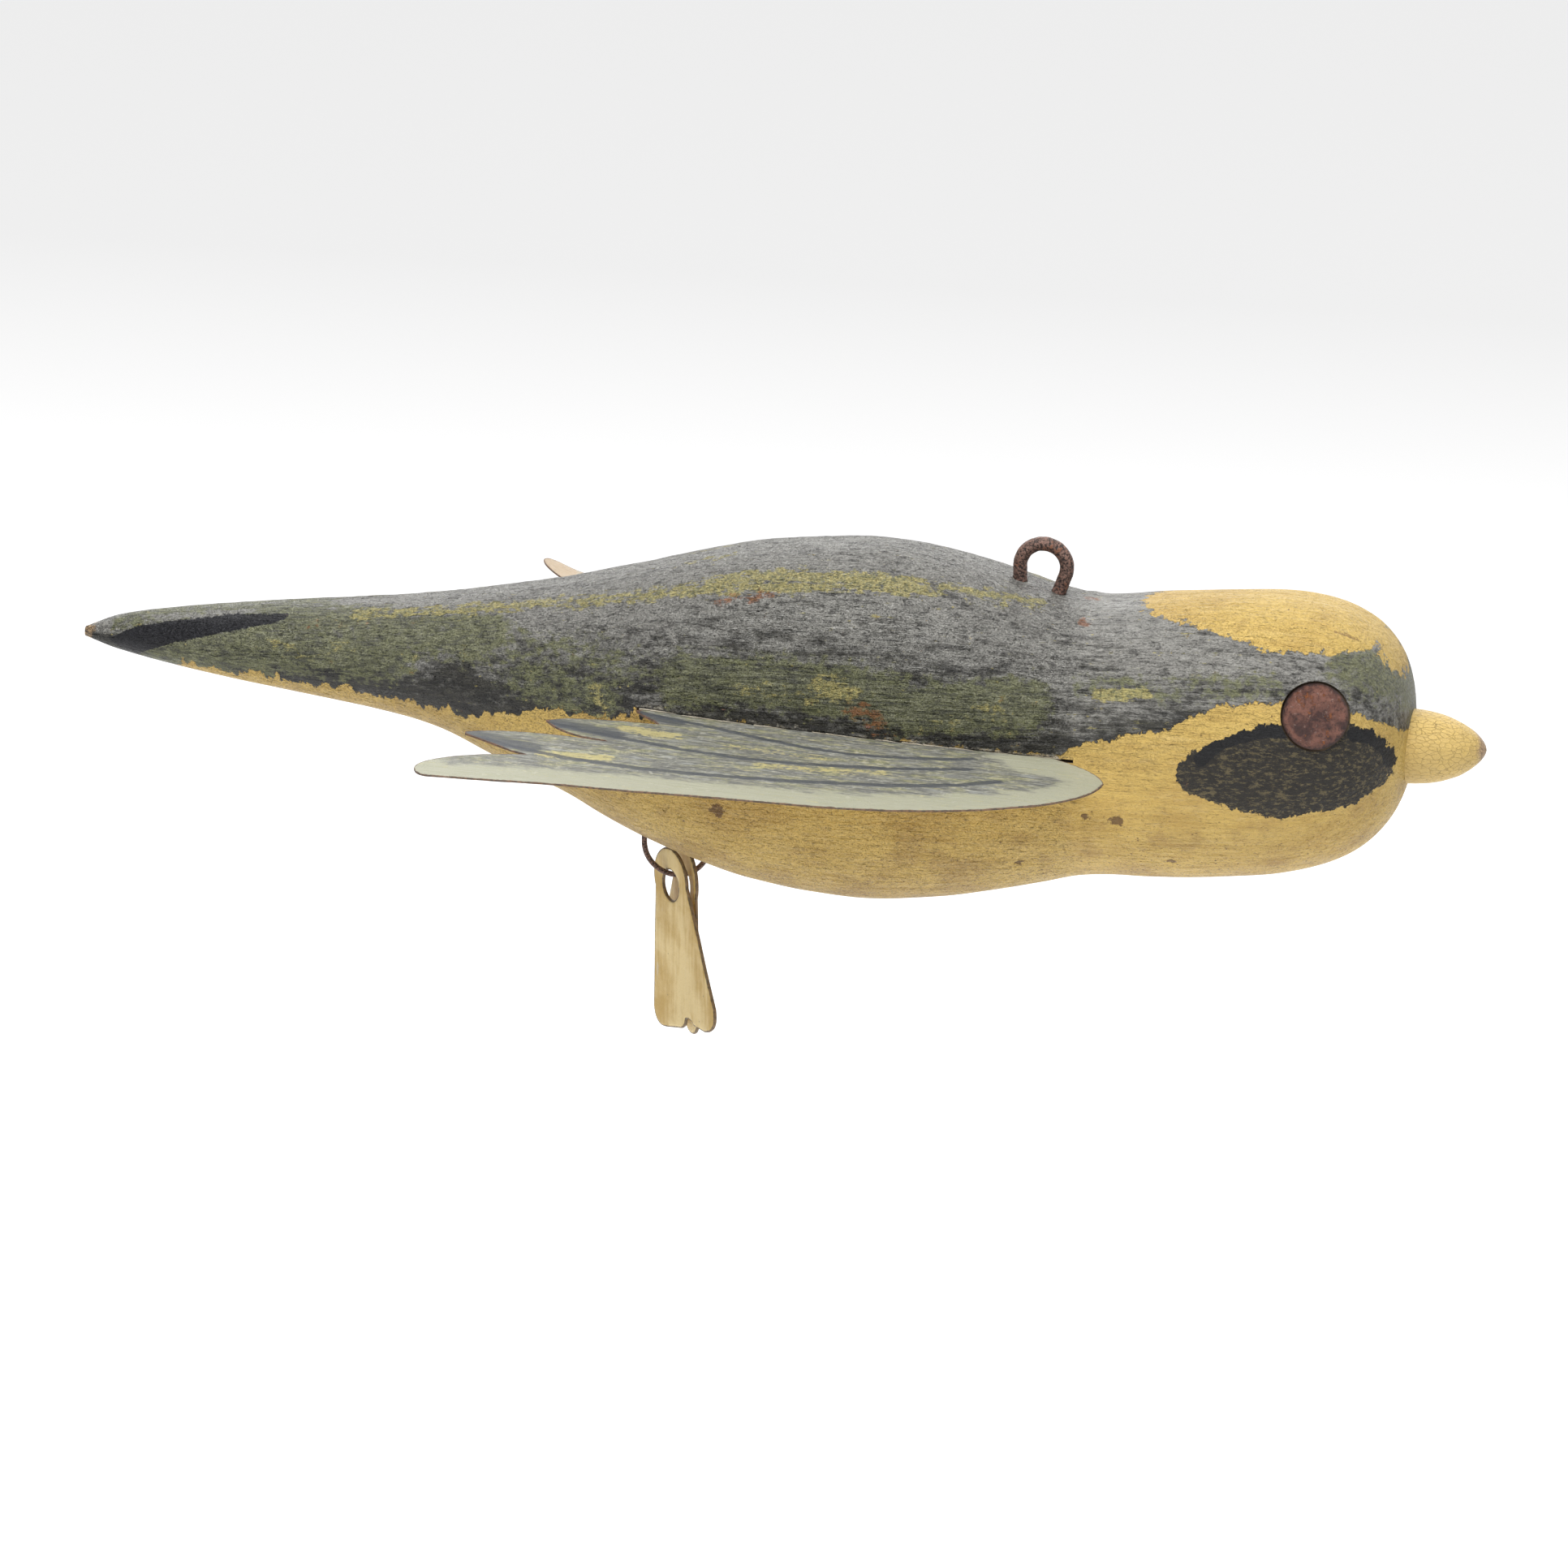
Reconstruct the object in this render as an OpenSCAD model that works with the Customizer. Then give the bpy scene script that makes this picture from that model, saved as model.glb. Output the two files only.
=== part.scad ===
// Hanging bird decoy: a carved block with sheet-metal wings let into saw kerfs,
// tack eyes, a wire loop on the back for the line and two loose tin feet on a belly wire.
// Millimetres. The origin is the highest point inside the line loop, where the line pulls.
// +X runs to the beak, +Y to the bird's left wing, +Z up.

/* [Carved body] */
// Length of the block from tail tip to forehead
body_len = 332; // [270:1:420]
// Depth of the breast, crest to belly
body_depth = 90; // [72:0.5:112]
// Breadth of the breast
body_breadth = 66; // [55:0.5:82]
// Distance from the tail tip forward to the line loop
loop_station = 240; // [200:1:290]
// Roundness of the cross-section: 2 is an ellipse, more is squarer
section_power = 2.2; // [2:0.05:3]
// Where the forehead starts to round off, as a share of the length
cap_start = 0.868; // [0.84:0.002:0.9]
// Squareness of the forehead
cap_power = 2.75; // [2:0.05:3.4]

/* [Beak] */
// Length that stands out of the head
beak_len = 18; // [12:0.1:24]
// Radius at the root
beak_r = 9.2; // [7:0.1:11]
// Radius of the tenon that is glued into the head
beak_tenon_r = 4; // [3:0.1:6]
// Length of the tenon
beak_tenon_len = 14; // [8:0.5:20]
// Depth of the seat that the root stands in
beak_seat = 2; // [1.5:0.1:3]
// Distance of the beak's axis below the head's own centre line
beak_drop = 4.4; // [2:0.1:6]

/* [Line loop] */
// Diameter of the staple wire
loop_wire = 3.5; // [2.8:0.1:4.2]
// Centre-line radius of the crown
loop_bend = 5.8; // [5:0.1:7]
// Clear height from the back to the inside of the crown, at the loop's middle
loop_rise = 9.3; // [8:0.1:12]
// Lean of the front leg towards the back one, degrees
loop_lean = 20; // [0:1:24]
// Length of each leg below the bend
loop_leg = 17; // [12:0.5:20]

/* [Wings] */
// Thickness of the tin
wing_t = 0.6; // [0.4:0.05:1]
// Width of the saw kerf over the tin's thickness
kerf_clear = 0.2; // [0.1:0.05:0.5]
// Distance from the body's middle plane to the wing's outer edge
wing_reach = 90; // [86:1:110]
// Distance from the line loop back to the longest feather's tip
wing_back = 140.6; // [125:0.2:155]
// Distance from the line loop forward to the wing's nose
wing_front = 22.4; // [15:0.2:35]
// Depth that the root runs into the wood
wing_seat = 10; // [8:0.5:13]
// Height of the wing's plane above the body's centre line at the breast
wing_rise = 6.8; // [5:0.2:12]
// Droop of each wing to its outer edge, degrees
wing_droop = 2.6; // [0:0.1:6]
// Fall of the wing's plane towards the head, degrees
wing_fall = 3.6; // [0:0.1:4]
// Distances from the line loop back to the front and rear brad of each wing
brad_places = [38, 74]; // [25:1:80]
// Diameter of a brad
brad_d = 1.3; // [1:0.1:1.8]
// Length of a brad
brad_len = 13; // [11:0.5:16]
// Height of a brad's head above the kerf
brad_rise = 4.4; // [3.5:0.1:6]
// Slant of a brad away from upright, degrees
brad_slant = 45; // [35:1:50]
// Depth of a brad's head below the surface
brad_sink = 0.6; // [0.3:0.1:1.5]

/* [Eyes] */
// Diameter of the tack's head
eye_d = 16.2; // [13:0.1:18]
// Height of the dome
eye_dome = 2.2; // [1.5:0.1:3.5]
// Thickness of the head at its rim
eye_rim = 1; // [0.6:0.1:1.6]
// Diameter of the shank
eye_shank_d = 2.8; // [2:0.1:4]
// Length of the shank
eye_shank_len = 15; // [10:0.5:20]
// Distance from the forehead back to the eye
eye_back = 20.2; // [17:0.2:28]
// Height of the eye above the head's centre line
eye_rise = 12.4; // [8:0.2:16]
// Gap round the head in its bored seat
eye_gap = 0.5; // [0.3:0.1:1]
// Depth of the seat at its middle
eye_seat = 1.7; // [1.4:0.1:2.5]
// Turn of the eye's face upwards and forwards, degrees
eye_turn = [21, 12]; // [0:1:30]

/* [Feet] */
// Diameter of the belly wire
wire_d = 1.35; // [1.2:0.05:1.6]
// Centre-line radius of the belly wire's bend
wire_bend = 8.1; // [7.6:0.1:9]
// Distance from the line loop back to the lowest point of the belly wire
wire_back = 91.5; // [86:0.5:100]
// Drop of the wire's lowest point below the belly
wire_drop = 8.8; // [8.6:0.1:10]
// Length that each end of the wire runs straight into the wood
wire_leg = 12; // [8:0.5:20]
// Turn of the bend's front end past its lowest point, degrees
wire_wrap = 62; // [55:1:70]
// Thickness of a foot
foot_t = 1; // [0.7:0.05:1.2]
// Length of a foot
foot_len = 45.6; // [38:0.2:58]
// Radius of a foot's round upper end
foot_top_r = 8; // [7:0.1:8.8]
// Distance of that end's centre above the hole's
foot_rise = 1.4; // [0:0.1:1.8]
// Half-width across the toes
foot_toe_w = 15.3; // [12:0.1:17]
// Radius of the hole that hangs on the wire
foot_hole_r = 4; // [3.4:0.1:4.4]
// Play between the top of the hole and the wire, enough for the slanted pass
foot_play = 0.5; // [0.4:0.05:0.6]
// Spacing of the two feet along the wire
foot_gap = 4; // [3.8:0.1:4.6]
// Turn of the right and the left foot away from the wire, degrees
foot_yaw = [50, 60]; // [45:1:65]
// Lean of the right and the left foot within its own plane, degrees
foot_lean = [12, -10.6]; // [-14:0.1:14]

/* [Fits] */
// Radial clearance of a driven wire, brad or shank, and of the beak in its seat
drive_clear = 0.02; // [0.01:0.01:0.05]
// Clearance past the end of a leg, shank or tenon
end_clear = 0.3; // [0.1:0.1:1]

/* [Hidden] */
RIGHT = -1;
LEFT = 1;
$fn = 64;

// The carver's template: place along the length from tail to forehead,
// centre line below the crest in shares of the depth,
// half-depth and half-breadth in shares of the breast's.
template = [
    [0.000, 0.372, 0.026, 0.035],
    [0.025, 0.368, 0.090, 0.150],
    [0.075, 0.372, 0.160, 0.260],
    [0.125, 0.377, 0.212, 0.345],
    [0.220, 0.386, 0.298, 0.470],
    [0.270, 0.396, 0.362, 0.545],
    [0.315, 0.420, 0.464, 0.640],
    [0.365, 0.446, 0.582, 0.760],
    [0.415, 0.472, 0.724, 0.870],
    [0.465, 0.485, 0.850, 0.950],
    [0.510, 0.493, 0.938, 0.985],
    [0.585, 0.500, 1.000, 1.000],
    [0.635, 0.502, 0.978, 1.000],
    [0.685, 0.508, 0.906, 0.988],
    [0.730, 0.514, 0.814, 0.970],
    [0.755, 0.513, 0.770, 0.958],
    [0.780, 0.509, 0.764, 0.952],
    [0.805, 0.503, 0.776, 0.952],
    [0.840, 0.495, 0.784, 0.955],
    [0.880, 0.484, 0.781, 0.955],
    [1.000, 0.450, 0.766, 0.940]
];
CENTRE = 1;
DEPTH = 2;
BREADTH = 3;
breast = 0.585;
body_sides = 36;
trunk_rings = 38;
cap_rings = 11;

// A smooth curve through one column of the template.
function span_of(s, i = 0) = i >= len(template) - 2 || s < template[i + 1][0] ? i : span_of(s, i + 1);
function slope_at(i, k) =
    let (a = max(i - 1, 0), b = min(i + 1, len(template) - 1))
    (template[b][k] - template[a][k]) / (template[b][0] - template[a][0]);
function template_at(s, k) =
    let (i = span_of(s), p = template[i], q = template[i + 1], h = q[0] - p[0], t = (s - p[0]) / h)
    (2 * t^3 - 3 * t^2 + 1) * p[k] + (t^3 - 2 * t^2 + t) * h * slope_at(i, k)
    + (3 * t^2 - 2 * t^3) * q[k] + (t^3 - t^2) * h * slope_at(i + 1, k);

// The forehead closes on a rounded end.
function forehead(s) = s <= cap_start ? 1 : (1 - min(1, (s - cap_start) / (1 - cap_start))^cap_power)^(1 / cap_power);
function share(x) = (x + loop_station) / body_len;
function half_depth(x) = body_depth / 2 * template_at(share(x), DEPTH) * forehead(share(x));
function half_breadth(x) = body_breadth / 2 * template_at(share(x), BREADTH) * forehead(share(x));

// The back under the loop lies loop_rise below the origin, and that sets the block's height.
loop_share = share(0);
crest_z = -loop_rise + body_depth * (template_at(loop_share, CENTRE) - template_at(loop_share, DEPTH) / 2);
function centre_z(x) = crest_z - body_depth * template_at(share(x), CENTRE);
function top_z(x) = centre_z(x) + half_depth(x);
function belly_z(x) = centre_z(x) - half_depth(x);
function side_y(x, z) = half_breadth(x) * (1 - min(1, abs(z - centre_z(x)) / half_depth(x))^section_power)^(1 / section_power);

head_x = body_len - loop_station;
tail_x = -loop_station;
breast_x = breast * body_len - loop_station;

// The loft's rings: even along the trunk, closing up towards the forehead.
function ring_shares() = concat(
    [for (i = [0:trunk_rings]) cap_start * i / trunk_rings],
    [for (i = [1:cap_rings]) cap_start + (1 - cap_start) * sin(85 * i / cap_rings)]
);
function bow(c) = sign(c) * abs(c)^(2 / section_power);
function ring(s) =
    let (x = s * body_len - loop_station, w = half_breadth(x), h = half_depth(x), z = centre_z(x))
    [for (j = [0:body_sides - 1])
        let (a = 360 * (j + 0.5) / body_sides)
        [x, w * bow(cos(a)), z + h * bow(sin(a))]];
function quad(i, j, n) = [i * n + j, i * n + (j + 1) % n, (i + 1) * n + (j + 1) % n, (i + 1) * n + j];
function tris(q) = [[q[0], q[1], q[2]], [q[0], q[2], q[3]]];

module carved_block() {
    rows = ring_shares();
    n = body_sides;
    last = len(rows) - 1;
    tail = [tail_x, 0, centre_z(tail_x)];
    nose = [head_x, 0, centre_z(head_x)];
    points = concat([for (s = rows) each ring(s)], [tail, nose]);
    sides = [for (i = [0:last - 1], j = [0:n - 1]) each tris(quad(i, j, n))];
    tail_fan = [for (j = [0:n - 1]) [len(rows) * n, (j + 1) % n, j]];
    nose_fan = [for (j = [0:n - 1]) [len(rows) * n + 1, last * n + j, last * n + (j + 1) % n]];
    polyhedron(points = points, faces = concat(sides, tail_fan, nose_fan));
}

// Beak
beak_z = centre_z(head_x) - beak_drop;
beak_root_x = head_x - beak_seat;
beak_total = beak_len + beak_seat;
beak_steps = 12;
function beak_radius(t) = beak_r * (1 - t^2.2)^(1 / 1.6);

module beak() {
    profile = [for (i = [0:beak_steps]) let (t = sin(90 * i / beak_steps)) [i == beak_steps ? 0 : beak_radius(t), t * beak_total]];
    color([0.83, 0.69, 0.38])
    translate([beak_root_x, 0, beak_z])
    rotate([0, 90, 0]) {
        rotate_extrude() polygon(concat([[0, 0]], profile));
        translate([0, 0, -beak_tenon_len]) cylinder(r = beak_tenon_r, h = beak_tenon_len + 1);
    }
}

module beak_socket() {
    translate([beak_root_x, 0, beak_z])
    rotate([0, 90, 0]) {
        cylinder(r = beak_r + drive_clear, h = beak_seat + 5);
        translate([0, 0, -beak_tenon_len - end_clear])
            cylinder(r = beak_tenon_r + drive_clear, h = beak_tenon_len + end_clear + 1);
    }
}

// A round wire bent to an arc in the XZ plane, with a straight leg off each end.
// Angles run from +X towards +Z about the bend's centre.
wire_sides = 20;
bend_steps = 18;

function outward(a) = [cos(a), 0, sin(a)];
function onward(a) = [-sin(a), 0, cos(a)];
function wire_path(bend_r, from, to, leg) = concat(
    [[bend_r * outward(from) - leg * onward(from), from]],
    [for (i = [0:bend_steps]) let (a = from + (to - from) * i / bend_steps) [bend_r * outward(a), a]],
    [[bend_r * outward(to) + leg * onward(to), to]]
);
function wire_ring(centre, turn, r) = [for (j = [0:wire_sides - 1])
    let (a = 360 * j / wire_sides)
    centre + r * (cos(a) * outward(turn) + sin(a) * [0, 1, 0])];

module bent_wire(r, bend_r, from, to, leg) {
    path = wire_path(bend_r, from, to, leg);
    n = wire_sides;
    last = len(path) - 1;
    sides = [for (i = [0:last - 1], j = [0:n - 1]) each tris(quad(i, j, n))];
    start_cap = [for (j = [n - 1:-1:0]) j];
    end_cap = [for (j = [0:n - 1]) last * n + j];
    polyhedron(points = [for (p = path) each wire_ring(p[0], p[1], r)], faces = concat(sides, [start_cap, end_cap]));
}

module wire_bores(r, bend_r, from, to, leg) {
    rotate([0, -from, 0]) translate([bend_r, 0, -leg]) cylinder(r = r, h = leg);
    rotate([0, -to, 0]) translate([bend_r, 0, 0]) cylinder(r = r, h = leg);
}

// Line staple: a half-round crown, a straight rear leg and a leaning front leg
loop_r = loop_wire / 2;
crown_z = loop_r - loop_bend;
loop_turn = [-loop_lean, 180];

module line_staple() {
    color([0.27, 0.17, 0.13])
    translate([0, 0, crown_z])
        bent_wire(loop_r, loop_bend, loop_turn[0], loop_turn[1], loop_leg);
}

module loop_holes() {
    translate([0, 0, crown_z])
        wire_bores(loop_r + drive_clear, loop_bend, loop_turn[0], loop_turn[1], loop_leg + end_clear);
}

// Wings. The outline is drawn flat: x along the bird from the loop, y out from the middle plane.
kerf_t = wing_t + kerf_clear;
wing_z = centre_z(breast_x) + wing_rise;
root_y = body_breadth / 2 - wing_seat;
flank_y = body_breadth / 2;
kerf_rear_x = -wing_back + 49;
kerf_front_x = wing_front - 14.5;

function bend(a, b, c, steps = 6) = [for (i = [0:steps]) let (t = i / steps) (1 - t)^2 * a + 2 * t * (1 - t) * b + t^2 * c];
function along(x, y) = [x - wing_back, y];
function wing_outline() = concat(
    // root inside the wood, rear to front
    [[kerf_rear_x + 6, root_y], [kerf_front_x - 6, root_y]],
    // leading edge and rounded nose
    bend([kerf_front_x, flank_y - 1.5], [wing_front - 2, flank_y + 4], [wing_front, flank_y + 11.5], 4),
    bend([wing_front, flank_y + 11.5], [wing_front - 1, wing_reach - 33], [wing_front - 18, wing_reach - 23.5], 5),
    // long outer edge and the blunt end of the first feather
    bend([wing_front - 18, wing_reach - 23.5], [wing_front - 35, wing_reach - 12.5], [-40, wing_reach - 9], 5),
    bend([-40, wing_reach - 9], [-90, wing_reach - 5.5], along(4, wing_reach), 4),
    bend(along(4, wing_reach), along(0.2, wing_reach), along(0, wing_reach - 5), 4),
    bend(along(0, wing_reach - 5), along(1, wing_reach - 13), along(19, wing_reach - 19.5), 5),
    [along(24.6, wing_reach - 21.4)],
    // second feather
    bend(along(21, wing_reach - 22.4), along(14, wing_reach - 26.5), along(7.6, wing_reach - 30.2), 3),
    bend(along(7.4, wing_reach - 31.6), along(18, wing_reach - 38), along(41.6, wing_reach - 35.6), 5),
    // third feather
    bend(along(41.4, wing_reach - 36.2), along(30, wing_reach - 36.8), along(24.8, flank_y + 11.6), 5),
    bend(along(29, flank_y + 9), along(38, flank_y + 6.4), along(51.8, flank_y + 6), 3),
    // fourth feather, running back into the kerf
    bend(along(50, flank_y + 3.5), along(46.5, flank_y + 1), along(44.8, flank_y - 1.7), 3),
    [along(48, flank_y - 3.5)]
);

// Carries a flat wing shape on to the right or left wing's plane.
module on_wing(side) {
    mirror([0, side == LEFT ? 0 : 1, 0])
    translate([breast_x, 0, wing_z])
    rotate([0, wing_fall, 0])
    rotate([-wing_droop, 0, 0])
    translate([-breast_x, 0, 0])
        children();
}

module wing_sheet(side) {
    difference() {
        on_wing(side) translate([0, 0, -wing_t / 2]) linear_extrude(wing_t) polygon(wing_outline());
        for (back = brad_places) brad_shaft(side, back, brad_d / 2 + drive_clear, end_clear);
    }
}

module kerf(side) {
    on_wing(side)
    translate([0, 0, -kerf_t / 2])
    linear_extrude(kerf_t)
        polygon([
            [kerf_rear_x, root_y - end_clear],
            [kerf_front_x + 2, root_y - end_clear],
            [kerf_front_x + 12, flank_y + 20],
            [kerf_rear_x - 20, flank_y + 20]
        ]);
}

module right_wing() {
    color([0.66, 0.69, 0.62]) wing_sheet(RIGHT);
}

module left_wing() {
    color([0.66, 0.69, 0.62]) wing_sheet(LEFT);
}

// Brads: driven slantwise through the flank just above the kerf and on through the wing's root
brad_head_r = brad_d * 0.85;
brad_head_t = 0.7;

function wing_plane_z(x, y) = wing_z - (x - breast_x) * tan(wing_fall) - y * tan(wing_droop);
function brad_z(back) = wing_plane_z(-back, flank_y) + brad_rise;

// Stands a shape drawn along +Z on the flank over the kerf, with the surface at z = 0.
module on_flank(side, back) {
    mirror([0, side == LEFT ? 0 : 1, 0])
    translate([-back, side_y(-back, brad_z(back)), brad_z(back)])
    rotate([-brad_slant, 0, 0])
        children();
}

module brad_shaft(side, back, r, extra) {
    on_flank(side, back) translate([0, 0, -brad_sink - brad_len - extra]) cylinder(r = r, h = brad_len + extra);
}

module brad(side, back) {
    color([0.42, 0.25, 0.17]) {
        brad_shaft(side, back, brad_d / 2, 0);
        on_flank(side, back) translate([0, 0, -brad_sink - brad_head_t]) cylinder(r = brad_head_r, h = brad_head_t);
    }
}

module brad_hole(side, back) {
    brad_shaft(side, back, brad_d / 2 + drive_clear, end_clear);
    on_flank(side, back)
    translate([0, 0, -brad_sink - brad_head_t - drive_clear])
        cylinder(r = brad_head_r + drive_clear, h = brad_sink + 4);
}

module right_rear_brad() {
    brad(RIGHT, brad_places[1]);
}

module right_front_brad() {
    brad(RIGHT, brad_places[0]);
}

module left_rear_brad() {
    brad(LEFT, brad_places[1]);
}

module left_front_brad() {
    brad(LEFT, brad_places[0]);
}

// Eyes
eye_x = head_x - eye_back;
eye_z = centre_z(eye_x) + eye_rise;
eye_y = side_y(eye_x, eye_z);
dome_r = (eye_d^2 / 4 + eye_dome^2) / (2 * eye_dome);
dome_angle = asin(eye_d / 2 / dome_r);
dome_steps = 8;

// Stands a shape drawn along +Z on the cheek, facing out, with its foot on the seat.
module on_cheek(side) {
    mirror([0, side == LEFT ? 0 : 1, 0])
    translate([eye_x, eye_y, eye_z])
    rotate([eye_turn[0] - 90, 0, -eye_turn[1]])
    translate([0, 0, -eye_seat])
        children();
}

module eye_tack(side) {
    profile = [for (i = [0:dome_steps])
        let (a = dome_angle * (1 - i / dome_steps))
        [dome_r * sin(a), eye_rim + eye_dome - dome_r + dome_r * cos(a)]];
    color([0.36, 0.2, 0.16])
    on_cheek(side) {
        rotate_extrude() polygon(concat([[0, 0], [eye_d / 2, 0]], profile));
        translate([0, 0, -eye_shank_len]) cylinder(r = eye_shank_d / 2, h = eye_shank_len + eye_rim);
    }
}

module eye_bore(side) {
    on_cheek(side) {
        cylinder(r = eye_d / 2 + eye_gap, h = eye_seat + 12);
        translate([0, 0, -eye_shank_len - end_clear])
            cylinder(r = eye_shank_d / 2 + drive_clear, h = eye_shank_len + end_clear + 1);
    }
}

module right_eye_tack() {
    eye_tack(RIGHT);
}

module left_eye_tack() {
    eye_tack(LEFT);
}

// Belly wire: most of a ring under the belly, both ends driven into the wood
wire_r = wire_d / 2;
ring_x = -wire_back;
ring_z = belly_z(ring_x) - wire_drop + wire_bend;

wire_turn = [180, 270 + wire_wrap];

module foot_wire() {
    color([0.3, 0.2, 0.15])
    translate([ring_x, 0, ring_z])
        bent_wire(wire_r, wire_bend, wire_turn[0], wire_turn[1], wire_leg);
}

module wire_holes() {
    translate([ring_x, 0, ring_z])
        wire_bores(wire_r + drive_clear, wire_bend, wire_turn[0], wire_turn[1], wire_leg + end_clear);
}

// Feet: tin plates hanging loose on the wire. Drawn flat with the hole's centre at the origin.
foot_x = [ring_x - 1.5, ring_x - 1.5 + foot_gap];
foot_bottom = foot_rise + foot_top_r - foot_len;
flare = atan((foot_toe_w - foot_top_r) / (foot_len - foot_top_r - 5));
arc_steps = 14;

// Height of the wire's centre line at a place along it.
function wire_z(x) = ring_z - sqrt(wire_bend^2 - (x - ring_x)^2);

function foot_outline() = concat(
    [for (i = [0:arc_steps]) let (a = -flare + (180 + 2 * flare) * i / arc_steps) [0, foot_rise] + foot_top_r * [cos(a), sin(a)]],
    bend([-foot_toe_w, foot_bottom + 5], [-foot_toe_w, foot_bottom], [-foot_toe_w + 5, foot_bottom], 5),
    bend([-2.6, foot_bottom + 0.2], [-0.6, foot_bottom + 0.4], [0, foot_bottom + 2], 3),
    bend([0.4, foot_bottom + 2.6], [2.6, foot_bottom + 3.4], [4.2, foot_bottom + 1.2], 4),
    bend([foot_toe_w - 6, foot_bottom], [foot_toe_w, foot_bottom], [foot_toe_w, foot_bottom + 6], 5)
);

module foot(i) {
    color([0.84, 0.76, 0.5])
    translate([foot_x[i], 0, wire_z(foot_x[i])])
    rotate([0, 0, -foot_yaw[i]])
    rotate([0, -foot_lean[i], 0])
    translate([0, 0, wire_r + foot_play - foot_hole_r])
    rotate([90, 0, 0])
    translate([0, 0, -foot_t / 2])
    difference() {
        linear_extrude(foot_t) polygon(foot_outline());
        translate([0, 0, -1]) cylinder(r = foot_hole_r, h = foot_t + 2);
    }
}

module right_foot() {
    foot(0);
}

module left_foot() {
    foot(1);
}

module body() {
    color([0.42, 0.42, 0.36])
    difference() {
        carved_block();
        beak_socket();
        loop_holes();
        wire_holes();
        for (side = [RIGHT, LEFT]) {
            kerf(side);
            eye_bore(side);
            for (back = brad_places) brad_hole(side, back);
        }
    }
}

body();
beak();
line_staple();
right_wing();
left_wing();
right_rear_brad();
right_front_brad();
left_rear_brad();
left_front_brad();
right_eye_tack();
left_eye_tack();
foot_wire();
right_foot();
left_foot();
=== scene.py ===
"""Looks of the hanging bird decoy: carved and painted block, tin wings and feet, tack eyes and wire fittings.

Sizes in the property groups are millimetres in the part's own frame: +X to the beak,
+Y to the bird's left wing, +Z up, with the origin at the top of the line loop's opening.
"""
import math

import bmesh
import bpy
import numpy as np
from bpy.props import FloatProperty, FloatVectorProperty, IntProperty, PointerProperty
from mathutils import Matrix, Vector, geometry, noise


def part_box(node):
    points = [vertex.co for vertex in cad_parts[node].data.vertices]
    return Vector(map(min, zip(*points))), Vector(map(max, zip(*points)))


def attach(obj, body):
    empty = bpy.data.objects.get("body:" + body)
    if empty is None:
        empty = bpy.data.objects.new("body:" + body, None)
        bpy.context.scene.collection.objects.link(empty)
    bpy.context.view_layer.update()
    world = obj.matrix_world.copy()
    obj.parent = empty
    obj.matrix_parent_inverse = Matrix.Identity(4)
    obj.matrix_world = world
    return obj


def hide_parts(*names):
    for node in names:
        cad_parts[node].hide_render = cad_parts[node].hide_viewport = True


bl_info = {
    "name": "Hanging Bird Decoy",
    "version": (1, 0, 0),
    "blender": (4, 5, 0),
    "location": "3D View > Sidebar > Decoy",
    "description": "Builds the painted bird decoy, its tin wings and feet and its wire fittings",
    "category": "Object",
}

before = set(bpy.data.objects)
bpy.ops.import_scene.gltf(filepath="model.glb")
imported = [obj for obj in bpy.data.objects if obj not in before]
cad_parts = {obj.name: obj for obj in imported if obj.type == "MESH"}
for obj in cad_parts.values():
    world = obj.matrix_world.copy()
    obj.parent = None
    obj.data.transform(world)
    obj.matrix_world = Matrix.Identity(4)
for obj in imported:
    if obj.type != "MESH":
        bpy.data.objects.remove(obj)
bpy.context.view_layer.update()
MM = 0.001
RIGHT, LEFT = -1, 1


# ---------------------------------------------------------------- sizes and colours

def inside_head():
    """How far the head runs forward of the line loop, read from the CAD body."""
    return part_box("body")[1].x / MM


def size_in_mm(name, description, default):
    return FloatProperty(name=name, description=description + ", mm", default=default)


def size_in_degrees(name, description, degrees):
    return FloatProperty(name=name, description=description, default=math.radians(degrees), subtype="ANGLE")


def size_in_metres(name, description, default):
    return FloatProperty(name=name, description=description, default=default, unit="LENGTH")


class CarvingSizes(bpy.types.PropertyGroup):
    tail_back: size_in_mm("Tail", "Distance from the line loop back to the tail tip", 240.0)
    head_ahead: size_in_mm("Head", "Distance from the line loop forward to the forehead", inside_head())
    depth: size_in_mm("Depth", "Depth of the breast", 90.0)
    breadth: size_in_mm("Breadth", "Breadth of the breast", 66.0)
    back_under_loop: size_in_mm("Back", "Drop from the loop's opening to the back", 9.3)
    wobble: size_in_mm("Knife wobble", "Unevenness left by the knife", 0.22)
    rings: IntProperty(name="Rings", description="Rings along the block", default=330)
    sides: IntProperty(name="Sides", description="Points round each ring", default=176)


class TinSizes(bpy.types.PropertyGroup):
    wing_thickness: size_in_mm("Wing tin", "Thickness of the wing sheet", 0.6)
    wing_reach: size_in_mm("Wing reach", "Middle plane to the wing's outer edge", 90.0)
    wing_back: size_in_mm("Wing back", "Loop back to the longest feather", 140.6)
    wing_front: size_in_mm("Wing front", "Loop forward to the wing's nose", 22.4)
    wing_seat: size_in_mm("Wing seat", "Depth of the wing's root in the wood", 10.0)
    wing_rise: size_in_mm("Wing rise", "Wing plane above the breast's centre", 6.8)
    droop: size_in_degrees("Droop", "Droop to the outer edge", 2.6)
    fall: size_in_degrees("Fall", "Fall towards the head", 3.6)
    left_sag: size_in_mm("Left sag", "Sag of the left wing's outer edge, and the curl back up of its tip", 4.0)
    foot_thickness: size_in_mm("Foot tin", "Thickness of a foot", 1.0)
    foot_length: size_in_mm("Foot length", "Length of a foot", 45.6)


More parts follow.
